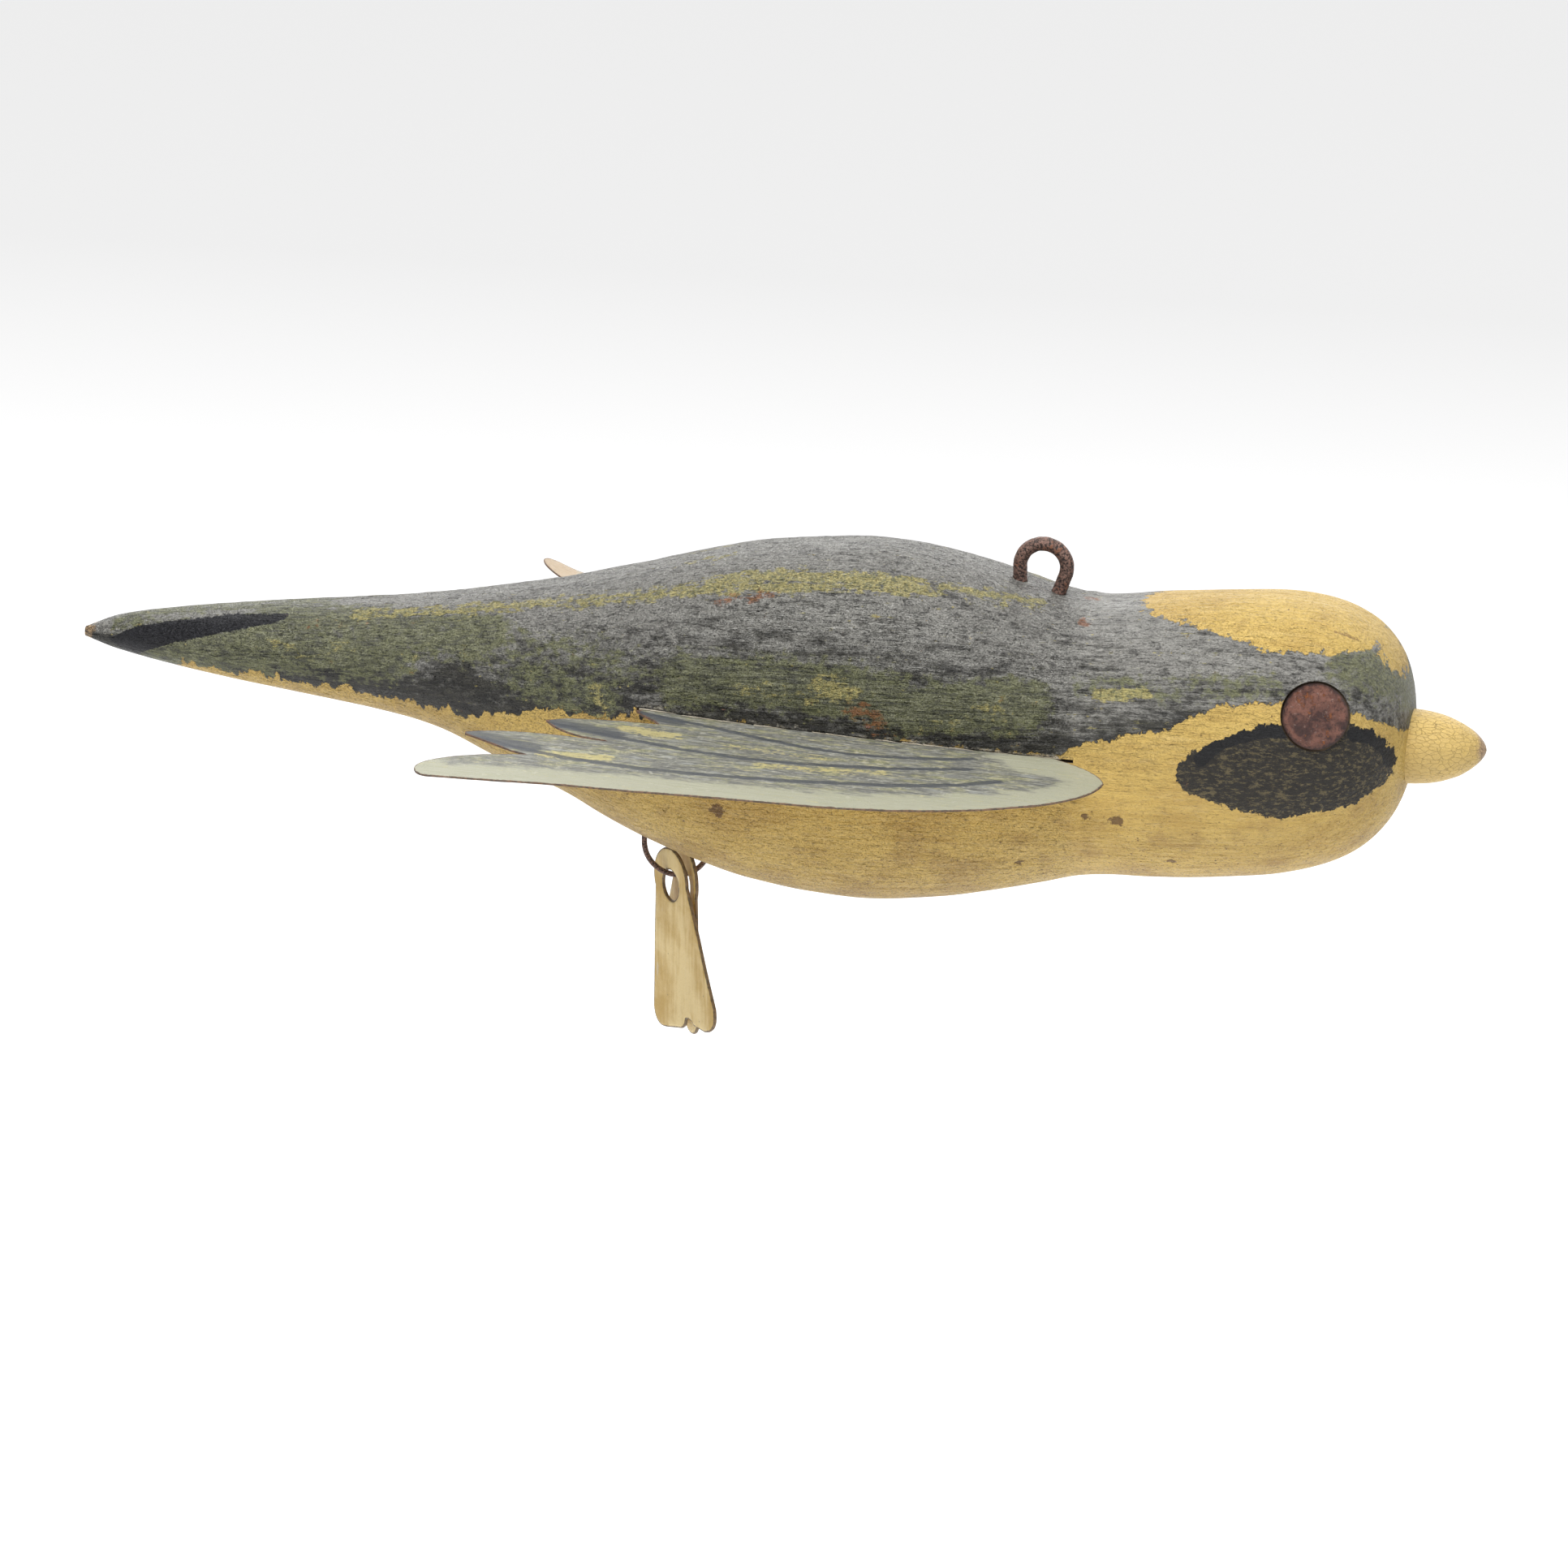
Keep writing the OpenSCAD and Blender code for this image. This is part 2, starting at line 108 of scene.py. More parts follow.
class WireSizes(bpy.types.PropertyGroup):
    loop_wire: size_in_mm("Loop wire", "Diameter of the line staple", 3.5)
    loop_bend: size_in_mm("Loop bend", "Centre-line radius of the staple's crown", 5.8)
    belly_wire: size_in_mm("Belly wire", "Diameter of the belly wire", 1.35)
    belly_bend: size_in_mm("Belly bend", "Centre-line radius of the belly wire", 8.1)
    belly_drop: size_in_mm("Belly drop", "Belly wire's lowest point below the belly", 8.8)
    belly_back: size_in_mm("Belly wire back", "Loop back to the wire's lowest point", 91.5)


class EyeSizes(bpy.types.PropertyGroup):
    across: size_in_mm("Head", "Diameter of the tack's head", 16.2)
    dome: size_in_mm("Dome", "Height of the dome", 2.2)
    seat: size_in_mm("Seat", "Depth of the bored seat", 1.7)
    gap: size_in_mm("Gap", "Gap round the head in its seat", 0.5)
    back: size_in_mm("Back", "Forehead back to the eye", 20.2)
    rise: size_in_mm("Rise", "Eye above the head's centre line", 12.4)


def paint_colour(name, description, rgb):
    linear = [(c / 255 / 12.92) if c <= 10 else ((c / 255 + 0.055) / 1.055) ** 2.4 for c in rgb]
    return FloatVectorProperty(name=name, description=description, subtype="COLOR", size=3, default=linear,
                               min=0, max=1)


class PaintColours(bpy.types.PropertyGroup):
    ochre: paint_colour("Ochre", "Yellow of the belly and crown", (210, 178, 99))
    deep_ochre: paint_colour("Deep ochre", "Dirty yellow in the shade of the grain", (160, 122, 58))
    charcoal: paint_colour("Charcoal", "Dark paint of the back", (66, 64, 58))
    # Painted sheen: the light grey laid over the dark paint on the top of the back, standing in for the lamps'
    # shine.
    sheen_grey: paint_colour("Rubbed grey", "Dark paint polished by handling", (162, 160, 154))
    soot: paint_colour("Soot", "Darkest strokes of the back", (36, 35, 33))
    moss: paint_colour("Moss", "Green worked into the back", (122, 124, 86))
    lime: paint_colour("Lime", "Yellow-green dry strokes", (186, 173, 110))
    night: paint_colour("Night blue", "Blue-black touches on tail and cheek", (27, 27, 33))
    rust: paint_colour("Rust orange", "Orange undercoat and rust stains", (166, 96, 44))
    bare_wood: paint_colour("Bare wood", "Wood where the paint has gone", (196, 164, 122))
    wing_pale: paint_colour("Wing pale", "Grey-green of the wings", (158, 157, 137))
    wing_line: paint_colour("Wing line", "Feather lines", (58, 62, 68))
    foot_cream: paint_colour("Foot cream", "Cream of the feet", (226, 203, 146))
    iron: paint_colour("Iron", "Browned iron", (134, 104, 92))


class StudioSettings(bpy.types.PropertyGroup):
    azimuth: size_in_degrees("Azimuth", "Turn of the view round the bird", 10)
    elevation: size_in_degrees("Elevation", "Height of the view above level", 18)
    distance: size_in_metres("Distance", "Camera to the bird", 5.0)
    frame_width: size_in_metres("Frame", "Width seen at the bird", 0.3864)
    aim: FloatVectorProperty(name="Aim", description="Point that the camera looks at", size=3,
                             default=(-0.0646, 0, -0.0638), unit="LENGTH")
    floor_drop: size_in_metres("Floor", "Floor below the loop", 0.9)


SETTINGS = {
    "decoy_carving": CarvingSizes,
    "decoy_tin": TinSizes,
    "decoy_wire": WireSizes,
    "decoy_eye": EyeSizes,
    "decoy_paint": PaintColours,
    "decoy_studio": StudioSettings,
}


# ---------------------------------------------------------------- the carved block's shape

# Place along the block, centre below the crest, half-depth and half-breadth, all as shares.
TEMPLATE = np.array([
    (0.000, 0.372, 0.026, 0.035), (0.025, 0.368, 0.090, 0.150), (0.075, 0.372, 0.160, 0.260),
    (0.125, 0.377, 0.212, 0.345), (0.220, 0.386, 0.298, 0.470), (0.270, 0.396, 0.362, 0.545),
    (0.315, 0.420, 0.464, 0.640), (0.365, 0.446, 0.582, 0.760), (0.415, 0.472, 0.724, 0.870),
    (0.465, 0.485, 0.850, 0.950), (0.510, 0.493, 0.938, 0.985), (0.585, 0.500, 1.000, 1.000),
    (0.635, 0.502, 0.978, 1.000), (0.685, 0.508, 0.906, 0.988), (0.730, 0.514, 0.814, 0.970),
    (0.755, 0.513, 0.770, 0.958), (0.780, 0.509, 0.764, 0.952), (0.805, 0.503, 0.776, 0.952),
    (0.840, 0.495, 0.784, 0.955), (0.880, 0.484, 0.781, 0.955), (1.000, 0.450, 0.766, 0.940),
])
CENTRE, HALF_DEPTH, HALF_BREADTH = 1, 2, 3
SECTION_POWER = 2.2
CAP_START, CAP_POWER = 0.868, 2.75
BREAST = 0.585


class Block:
    """The carved block's centre line, depth and breadth at any place along it, in millimetres."""

    def __init__(self, sizes):
        self.tail, self.length = -sizes.tail_back, sizes.tail_back + sizes.head_ahead
        self.depth, self.breadth = sizes.depth, sizes.breadth
        loop = self.share(0.0)
        self.crest = -sizes.back_under_loop + self.depth * (self.column(loop, CENTRE) - self.column(loop,
                HALF_DEPTH) / 2)
        self.breast_x = self.tail + BREAST * self.length
        self.head_x = self.tail + self.length

    def share(self, x):
        return (np.asarray(x, float) - self.tail) / self.length

    def column(self, s, k):
        s = np.clip(s, 0, 1)
        rows = TEMPLATE
        slopes = np.gradient(rows[:, k])
        reach = np.gradient(rows[:, 0])
        slopes = slopes / reach
        i = np.clip(np.searchsorted(rows[:, 0], s, side="right") - 1, 0, len(rows) - 2)
        h = rows[i + 1, 0] - rows[i, 0]
        t = (s - rows[i, 0]) / h
        return ((2 * t**3 - 3 * t**2 + 1) * rows[i, k] + (t**3 - 2 * t**2 + t) * h * slopes[i]
                + (3 * t**2 - 2 * t**3) * rows[i + 1, k] + (t**3 - t**2) * h * slopes[i + 1])

    def forehead(self, s):
        past = np.clip((np.asarray(s) - CAP_START) / (1 - CAP_START), 0, 1)
        return (1 - past**CAP_POWER) ** (1 / CAP_POWER)

    def centre(self, x):
        return self.crest - self.depth * self.column(self.share(x), CENTRE)

    def half_depth(self, x):
        return self.depth / 2 * self.column(self.share(x), HALF_DEPTH) * self.forehead(self.share(x))

    def half_breadth(self, x):
        return self.breadth / 2 * self.column(self.share(x), HALF_BREADTH) * self.forehead(self.share(x))

    def side(self, x, z):
        """Distance of the flank from the middle plane."""
        up = np.clip(np.abs(z - self.centre(x)) / np.maximum(self.half_depth(x), 1e-6), 0, 1)
        return self.half_breadth(x) * (1 - up**SECTION_POWER) ** (1 / SECTION_POWER)

    def flank(self, points):
        """The points of a side-view line, laid on the flank, as rows of x, y, z."""
        p = np.array(points, float)
        return np.column_stack([p[:, 0], self.side(p[:, 0], p[:, 1]), p[:, 1]])


# Painted marks, each in the side view: along the bird from the loop, and up from the loop's opening.
DARK_EDGE = [(-240, -46), (-222, -42), (-213.5, -38.0), (-204.3, -38.9), (-195.5, -39.2), (-185.6, -39.9),
             (-171.6, -40.4), (-156.0, -41.8), (-140.4, -44.1), (-126.7, -41.0), (-120.8, -40.0),
             (-96.5, -38.9), (-72.3, -38.6), (9.0, -42.4), (14.0, -39.1), (24.9, -36.7), (36.0, -34.3),
             (47.9, -28.2), (65.5, -26.4), (81.4, -30.3),
             (87.8, -33.6), (91.9, -38.5), (99, -38.5)]
CROWN = [(20.0, -9.4), (24.0, -10.6), (29.1, -11.6), (37.0, -12.2), (44.2, -13.7), (52.0, -14.4),
         (57.9, -16.1), (71.3, -16.4), (79.9, -17.3), (83.8, -17.0),
         (87.0, -21.8), (90.4, -26.4), (92.4, -21.0), (98, -10), (98, 6), (18, 6)]
CHEEK = [(37.8, -46.0), (39.4, -42.4), (42.3, -39.3), (48.1, -36.3), (58.5, -32.0), (81.0, -32.6),
         (87.9, -37.8), (89.9, -44.8), (88.4, -48.1),
         (85.2, -50.7), (79.6, -53.8), (71.1, -54.4), (62.0, -56.1), (51.3, -53.5), (39.8, -49.8)]
CRESCENT = [[(44.1, -41.3), (47.3, -37.6), (53.3, -34.9), (61.3, -33.2), (67.7, -33.3)],
            [(81.1, -34.9), (85.2, -36.3), (88.1, -39.5), (89.1, -43.6)]]
TAIL_TOUCH = [(-233.4, -33.9), (-226.2, -30.2), (-216.0, -28.1), (-202.7, -25.9), (-187.2, -24.6),
              (-188.5, -25.8),
              (-205.1, -29.8), (-215.4, -32.8), (-222.4, -35.6), (-227.0, -37.6), (-232.4, -35.0)]

# Brush strokes: half-width, strength, and the line.
LIME_STROKES = [
    (2.0, 0.85, [(-170.1, -23.4), (-137.3, -19.2), (-116.6, -16.0), (-97.8, -12.5), (-75.1, -7.8)]),
    (3.0, 1.15, [(-79.3, -8.3), (-62.9, -6.3), (-46.6, -5.3), (-30.5, -5.8)]),
    (2.2, 0.90, [(-32.4, -6.1), (-14.7, -7.6), (-0.2, -10.4)]),
    (1.4, 0.60, [(-87.9, -6.5), (-76.7, -3.8)]),
    (2.4, 0.95, [(-49.8, -27.8), (-43.0, -29.4)]),
    (1.5, 1.15, [(18.2, -27.5), (29.6, -26.8)]),
    (1.7, 0.75, [(-106.8, -33.2), (-104.5, -39.4)]),
    (1.6, 0.65, [(-71.5, -29.9), (-52.1, -30.3)]),
    (2.0, 0.60, [(-23.6, -35.2), (-5.6, -32.5)]),
    (2.2, 0.45, [(-189.6, -31.4), (-170.9, -30.3)]),
]
MOSS_STROKES = [
    (6.0, 1.00, [(-218.8, -35.1), (-197.9, -32.6), (-181.3, -30.7), (-160.5, -30.5)]),
    (6.0, 0.95, [(-192.6, -25.5), (-161.2, -24.7), (-136.0, -24.4)]),
    (5.0, 0.60, [(-135.9, -25.3), (-114.8, -24.7), (-97.6, -27.4)]),
    (5.0, 0.75, [(-126.9, -31.6), (-114.1, -35.0), (-104.6, -34.9)]),
    (5.5, 1.10, [(-85.0, -28.6), (-62.4, -27.8), (-31.8, -30.0)]),
    (5.5, 1.15, [(-33.8, -32.1), (-15.6, -31.7), (0.3, -30.1)]),
    (3.5, 0.60, [(13.9, -25.5), (34.4, -25.2), (60.7, -23.4)]),
    (6.0, 0.85, [(79.6, -20.2), (86.8, -23.6), (91.7, -32.9)]),
    (3.0, 0.75, [(-229.8, -29.6), (-207.8, -25.7), (-179.1, -23.0)]),
]
RUST_STROKES = [
    (1.5, 0.80, [(-77.5, -11.2), (-64.4, -8.9)]),
    (1.6, 1.00, [(11.5, -14.0), (12.4, -14.3)]),
    (1.4, 0.90, [(11.4, -11.6), (13.4, -11.9)]),
    (2.4, 0.80, [(-41.9, -32.5), (-36.8, -34.8), (-34.7, -38.4)]),
    (1.6, 0.35, [(-181.9, -26.1), (-153.2, -23.0)]),
]
LIP_STROKES = [(1.5, 0.9, [(-3.7, -8.4), (2.8, -9.9)])]
SCAR_STROKES = [(0.6, 0.9, [(74.1, -13.1), (76.8, -13.9), (79.2, -15.0)]),
                (0.5, 0.7, [(82.4, -8.4), (84.9, -9.5)])]
DINGS = [((15.2, -58.5), 0.5, 1.6), ((23.1, -59.3), 0.55, 2.2), ((-1.6, -72.8), 0.5, 1.6),
         ((-32.1, -66.0), 0.45, 0.9),
         ((91.2, -52.2), 0.6, 1.0), ((-75.8, -61.5), 0.3, 2.4), ((35.7, -71.0), 0.3, 1.4)]


# ---------------------------------------------------------------- measuring helpers

def segment_distance(points, line):
    """Distance of each row of points from a line of points, in any number of dimensions."""
    best = np.full(len(points), 1e9)
    line = np.array(line, float)
    for a, b in zip(line[:-1], line[1:]):
        d = b - a
        t = np.clip(((points - a) @ d) / max(float(d @ d), 1e-9), 0, 1)
        best = np.minimum(best, np.linalg.norm(points - (a + t[:, None] * d), axis=1))
    return best


def patch_depth(points, outline):
    """How far inside a closed outline each flat point lies; negative outside."""
    ring = np.array(list(outline) + [outline[0]], float)
    inside = np.zeros(len(points), bool)
    for (ax, ay), (bx, by) in zip(ring[:-1], ring[1:]):
        crosses = (ay > points[:, 1]) != (by > points[:, 1])
        at = ax + (points[:, 1] - ay) * (bx - ax) / ((by - ay) or 1e-9)
        inside ^= crosses & (points[:, 0] < at)
    away = segment_distance(points, ring)
    return np.where(inside, away, -away)


def stroke_weight(points, strokes, block):
    """The strongest brush stroke at each point of the flank, fading out past its half-width."""
    weight = np.zeros(len(points))
    for half_width, strength, line in strokes:
        away = segment_distance(points, block.flank(line))
        weight = np.maximum(weight, strength * np.clip(1.35 - 0.7 * away / half_width, 0, 1))
    return weight


def write_attribute(mesh, name, values):
    mesh.attributes.new(name, "FLOAT", "POINT").data.foreach_set("value", np.asarray(values, np.float32))


def vertex_rows(mesh):
    rows = np.empty(len(mesh.vertices) * 3, np.float32)
    mesh.vertices.foreach_get("co", rows)
    return rows.reshape(-1, 3).astype(float) / MM


def ripple(place, scale, seed):
    """Smooth noise from -1 to 1 at a place in millimetres."""
    return noise.noise(Vector((place[0] / scale + seed, place[1] / scale - seed, place[2] / scale)))


# ---------------------------------------------------------------- meshes

def new_piece(name, points, faces, materials, body, stands_for=(), smooth_angle=40):
    """A mesh piece with its points in millimetres, riding on a CAD body."""
    mesh = bpy.data.meshes.new(name)
    mesh.from_pydata([tuple(c * MM for c in p) for p in points], [], faces)
    mesh.validate()
    mesh.shade_smooth()
    mesh.set_sharp_from_angle(angle=math.radians(smooth_angle))
    for material in materials:
        mesh.materials.append(material)
    piece = bpy.data.objects.new(name, mesh)
    bpy.context.scene.collection.objects.link(piece)
    if body:
        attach(piece, body)
    if stands_for:
        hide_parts(*stands_for)
    return piece


def lathe(profile, sides):
    """Points and faces of a closed turned shape; the profile holds (radius, height) from pole to pole."""
    points, faces = [(0, 0, profile[0][1])], []
    rings = profile[1:-1]
    for radius, height in rings:
        points += [(radius * math.cos(2 * math.pi * j / sides), radius * math.sin(2 * math.pi * j / sides),
                    height) for j in range(sides)]
    points.append((0, 0, profile[-1][1]))
    top = len(points) - 1
    for j in range(sides):
        k = (j + 1) % sides
        faces.append((0, 1 + k, 1 + j))
        for i in range(len(rings) - 1):
            a, b = 1 + i * sides, 1 + (i + 1) * sides
            faces.append((a + j, a + k, b + k, b + j))
        a = 1 + (len(rings) - 1) * sides
        faces.append((a + j, a + k, top))
    return points, faces


def swept_wire(path, radius, sides, seed, roughness):
    """A round wire along (centre, outward) pairs that lie in one upright plane along the bird."""
    points, faces = [], []
    across = Vector((0, 1, 0))
    for centre, outward in path:
        for j in range(sides):
            a = 2 * math.pi * j / sides
            spoke = outward * math.cos(a) + across * math.sin(a)
            r = radius * (1 + roughness * ripple(centre + spoke * radius, radius * 0.9, seed)
                          + 0.5 * roughness * ripple(centre + spoke * radius, radius * 0.35, seed + 9))
            points.append(centre + spoke * r)
    count = len(path)
    for i in range(count - 1):
        for j in range(sides):
            k = (j + 1) % sides
            faces.append((i * sides + j, i * sides + k, (i + 1) * sides + k, (i + 1) * sides + j))
    faces.append(tuple(reversed(range(sides))))
    faces.append(tuple((count - 1) * sides + j for j in range(sides)))
    return points, faces


def bent_path(centre, bend_radius, start, stop, leg, step):
    """Centre line of a wire: an arc with a straight leg off each end.

    Angles are in degrees from +X to +Z.
    """
    def outward(a):
        return Vector((math.cos(a), 0, math.sin(a)))

    def onward(a):
        return Vector((-math.sin(a), 0, math.cos(a)))

    a0, a1 = math.radians(start), math.radians(stop)
    legs = max(2, int(leg / step))
    arcs = max(8, int(bend_radius * (a1 - a0) / step))
    path = [(centre + outward(a0) * bend_radius - onward(a0) * leg * (1 - i / legs),
             outward(a0)) for i in range(legs)]
    for i in range(arcs + 1):
        a = a0 + (a1 - a0) * i / arcs
        path.append((centre + outward(a) * bend_radius, outward(a)))
    path += [(centre + outward(a1) * bend_radius + onward(a1) * leg * (i + 1) / legs,
              outward(a1)) for i in range(legs)]
    return path


def arc_points(a, b, c, steps):
    """A quadratic bend from a past b to c."""
    a, b, c = (np.array(p, float) for p in (a, b, c))
    return [tuple((1 - t) ** 2 * a + 2 * t * (1 - t) * b + t**2 * c) for t in np.linspace(0, 1, steps + 1)]


def tidy_outline(points, spacing):
    """The closed outline with points no closer than a little and no further apart than the spacing."""
    out = []
    for a, b in zip(points, points[1:] + points[:1]):
        length = math.dist(a, b)
        if length < 0.02:
            continue
        steps = max(1, int(round(length / spacing)))
        out += [(a[0] + (b[0] - a[0]) * i / steps, a[1] + (b[1] - a[1]) * i / steps) for i in range(steps)]
    return out


def cut_sheet(outline, hole, spacing):
    """Triangles of a flat sheet with an outline and an optional hole, filled with an even grid of points."""
    rings = [outline] + ([hole] if hole else [])
    points, edges = [], []
    for ring in rings:
        base = len(points)
        points += [Vector(p) for p in ring]
        edges += [(base + i, base + (i + 1) % len(ring)) for i in range(len(ring))]
    xs, ys = [p[0] for p in outline], [p[1] for p in outline]
    grid = np.array([(x + (0.5 * spacing if row % 2 else 0), y)
                     for row, y in enumerate(np.arange(min(ys), max(ys), spacing * 0.87))
                     for x in np.arange(min(xs), max(xs), spacing)])
    keep = patch_depth(grid, outline) > 0.45 * spacing
    if hole:
        keep &= patch_depth(grid, hole) < -0.45 * spacing
    points += [Vector(p) for p in grid[keep]]
    made = geometry.delaunay_2d_cdt(points, edges, [], 0, 1e-5)
    flat = np.array([tuple(v) for v in made[0]])
    triangles = np.array([tuple(f) for f in made[2]])
    middles = flat[triangles].mean(axis=1)
    inside = patch_depth(middles, outline) > 0
    if hole:
        inside &= patch_depth(middles, hole) < 0
    triangles = triangles[inside]
    a, b, c = (flat[triangles[:, i]] for i in range(3))
    turn = (b[:, 0] - a[:, 0]) * (c[:, 1] - a[:, 1]) - (b[:, 1] - a[:, 1]) * (c[:, 0] - a[:, 0])
    triangles = [tuple(t) if w > 0 else tuple(t[::-1]) for t,
                 w in zip(triangles.tolist(), turn) if abs(w) > 1e-9]
    return flat, triangles


def sheet_metal(flat, triangles, thickness):
    """Gives the flat triangles a thickness and a rounded cut edge.

    Returns points, faces and each point's place in the flat.
    """
    seen = {}
    for t in triangles:
        for a, b in ((t[0], t[1]), (t[1], t[2]), (t[2], t[0])):
            seen[(a, b)] = True
    rim = [(a, b) for a, b in seen if (b, a) not in seen]
    count = len(flat)
    outward = np.zeros((count, 2))
    for a, b in rim:
        d = flat[b] - flat[a]
        push = np.array([d[1], -d[0]]) / max(np.linalg.norm(d), 1e-9)
        outward[a] += push
        outward[b] += push
    lengths = np.linalg.norm(outward, axis=1)
    on_rim = sorted({a for a, _ in rim})
    half = thickness / 2
    corner = {i: n for n, i in enumerate(on_rim)}
    height = np.full(count, half)
    height[on_rim] = half * 0.72
    points = [(x, y, h) for (x, y), h in zip(flat, height)] + [(x, y, -h) for (x, y), h in zip(flat, height)]
    for i in on_rim:
        push = outward[i] / max(lengths[i], 1e-9) * thickness * 0.14
        points.append((flat[i][0] + push[0], flat[i][1] + push[1], 0.0))
    faces = [t for t in triangles] + [(t[0] + count, t[2] + count, t[1] + count) for t in triangles]
    for a, b in rim:
        ma, mb = 2 * count + corner[a], 2 * count + corner[b]
        faces.append((b, a, ma, mb))
        faces.append((mb, ma, a + count, b + count))
    place = np.concatenate([flat, flat, flat[on_rim]])
    return points, faces, place


# ---------------------------------------------------------------- shader maths

class Shade:
    """One number, colour or vector in a finish, which can be used in sums."""

    def __init__(self, finish, socket):
        self.finish, self.socket = finish, socket

    def __add__(self, other):
        return self.finish.math("ADD", self, other)

    __radd__ = __add__

    def __sub__(self, other):
        return self.finish.math("SUBTRACT", self, other)

    def __rsub__(self, other):
        return self.finish.math("SUBTRACT", other, self)

    def __mul__(self, other):
        return self.finish.math("MULTIPLY", self, other)

    __rmul__ = __mul__

    def __truediv__(self, other):
        return self.finish.math("DIVIDE", self, other)

    def __pow__(self, other):
        return self.finish.math("POWER", self, other)


class Finish:
    """A material's nodes."""

    def __init__(self, name):
        self.material = bpy.data.materials.new(name)
        self.material.use_nodes = True
        self.tree = self.material.node_tree
        self.tree.nodes.clear()

    def node(self, kind, settings=None, sockets=None, out=0):
        made = self.tree.nodes.new(kind)
        for key, value in (settings or {}).items():
            if key == "stops":
                ramp = made.color_ramp
                while len(ramp.elements) < len(value):
                    ramp.elements.new(0.5)
                for element, (at, colour) in zip(ramp.elements, value):
                    element.position, element.color = at, colour
            else:
                setattr(made, key, value)
        for key, value in (sockets or {}).items():
            if isinstance(value, Shade):
                self.tree.links.new(value.socket, made.inputs[key])
            elif value is not None:
                made.inputs[key].default_value = value
        return Shade(self, made.outputs[out])

    def math(self, operation, *values, clamp=False):
        return self.node("ShaderNodeMath", {"operation": operation, "use_clamp": clamp},
                         dict(enumerate(values)))

    def mix(self, share, first, second, blend="MIX"):
        def colour(c):
            return c if isinstance(c, Shade) else (*tuple(c)[:3], 1.0)
        return self.node("ShaderNodeMix", {"data_type": "RGBA", "blend_type": blend, "clamp_factor": True},
                         {0: share, 6: colour(first), 7: colour(second)}, out=2)

    def vector(self, operation, first, second):
        return self.node("ShaderNodeVectorMath", {"operation": operation}, {0: first, 1: second})

    def place(self, stretch=(1, 1, 1)):
        """Where the surface is, in millimetres, each axis scaled."""
        spot = self.node("ShaderNodeTexCoord", out=3)
        return self.vector("MULTIPLY", spot, tuple(1000 * s for s in stretch))

    def noise(self, where, scale, detail=3.0, roughness=0.55, distortion=0.0):
        return self.node("ShaderNodeTexNoise", {}, {"Vector": where, "Scale": scale, "Detail": detail,
                                                    "Roughness": roughness, "Distortion": distortion})

    def cells(self, where, scale, randomness=1.0):
        return self.node("ShaderNodeTexVoronoi", {"feature": "F1"},
                         {"Vector": where, "Scale": scale, "Randomness": randomness})

    def step(self, value, low, high):
        """0 below low, 1 above high, smooth between."""
        return self.node("ShaderNodeMapRange", {"interpolation_type": "SMOOTHSTEP", "clamp": True},
                         {"Value": value, "From Min": low, "From Max": high})

    def mark(self, name):
        return self.node("ShaderNodeAttribute", {"attribute_name": name, "attribute_type": "GEOMETRY"}, out=2)

    def bump(self, height, distance, strength=1.0, under=None):
        return self.node("ShaderNodeBump", {},
                         {"Height": height, "Distance": distance, "Strength": strength, "Normal": under})

    def surface(self, colour, roughness, normal, metallic=0.0, coat=0.0, specular=0.5):
        shader = self.node("ShaderNodeBsdfPrincipled", {}, {
            "Base Color": colour, "Roughness": roughness, "Normal": normal, "Metallic": metallic,
            "Coat Weight": coat, "Specular IOR Level": specular})
        output = self.tree.nodes.new("ShaderNodeOutputMaterial")
        self.tree.links.new(shader.socket, output.inputs["Surface"])
        return self.material


# ---------------------------------------------------------------- finishes

# Tones that the brush leaves beside the named paints, linear RGB, and a few that stand in for light and shade,
# each marked where it is set.
PALE_OCHRE = (0.70, 0.52, 0.22)
GRIME = (0.30, 0.17, 0.055)
DUST = (0.15, 0.08, 0.028)
BLOOM = (0.72, 0.56, 0.30)
SCAR = (0.20, 0.11, 0.05)
DIRT_DOTS = (0.16, 0.08, 0.028)
SPECK = (0.10, 0.045, 0.015)
DEEP_MOSS = (0.085, 0.088, 0.060)
DRY_MOSS = (0.29, 0.29, 0.21)
CHEEK_DARK = (0.018, 0.015, 0.011)
CHEEK_THIN = (0.155, 0.122, 0.058)
CRESCENT_BLACK = (0.003, 0.003, 0.004)
DING_BROWN = (0.095, 0.04, 0.018)
BARE_SHADE = (0.16, 0.12, 0.085)
LIP_CRACK = (0.05, 0.045, 0.04)
# painted sheen: light grey on the lip by the line loop
LIP_GREY = (0.33, 0.31, 0.28)
TORN_EDGE = (0.50, 0.46, 0.38)
# painted shadow: near-black line inside the saw kerf where the wing enters the wood
KERF_SHADOW = (0.014, 0.012, 0.010)
CUT_WOOD = (0.10, 0.065, 0.035)
CUT_SHADE = (0.035, 0.022, 0.014)
BEAK_OCHRE = (0.53, 0.37, 0.12)
BEAK_DIRT = (0.17, 0.095, 0.035)
BEAK_TIP = (0.40, 0.27, 0.19)
BEAK_TIP_SHADE = (0.16, 0.10, 0.075)
CRAZE = (0.11, 0.06, 0.03)
IRON_PIT = (0.020, 0.012, 0.010)
RUST_CRUST = (0.12, 0.05, 0.03)
EYE_DARK = (0.055, 0.022, 0.018)
EYE_RED = (0.215, 0.090, 0.062)
EYE_PIT = (0.022, 0.013, 0.012)
EYE_PALE = (0.36, 0.25, 0.21)
EYE_RIM = (0.02, 0.013, 0.012)
WING_SMOKE = (0.075, 0.075, 0.072)
WING_GREY = (0.25, 0.25, 0.215)
WING_SILVER = (0.36, 0.37, 0.35)
WING_SCUFF = (0.50, 0.49, 0.43)
WING_STREAK = (0.24, 0.25, 0.18)
UNDER_DIRT = (0.12, 0.065, 0.03)
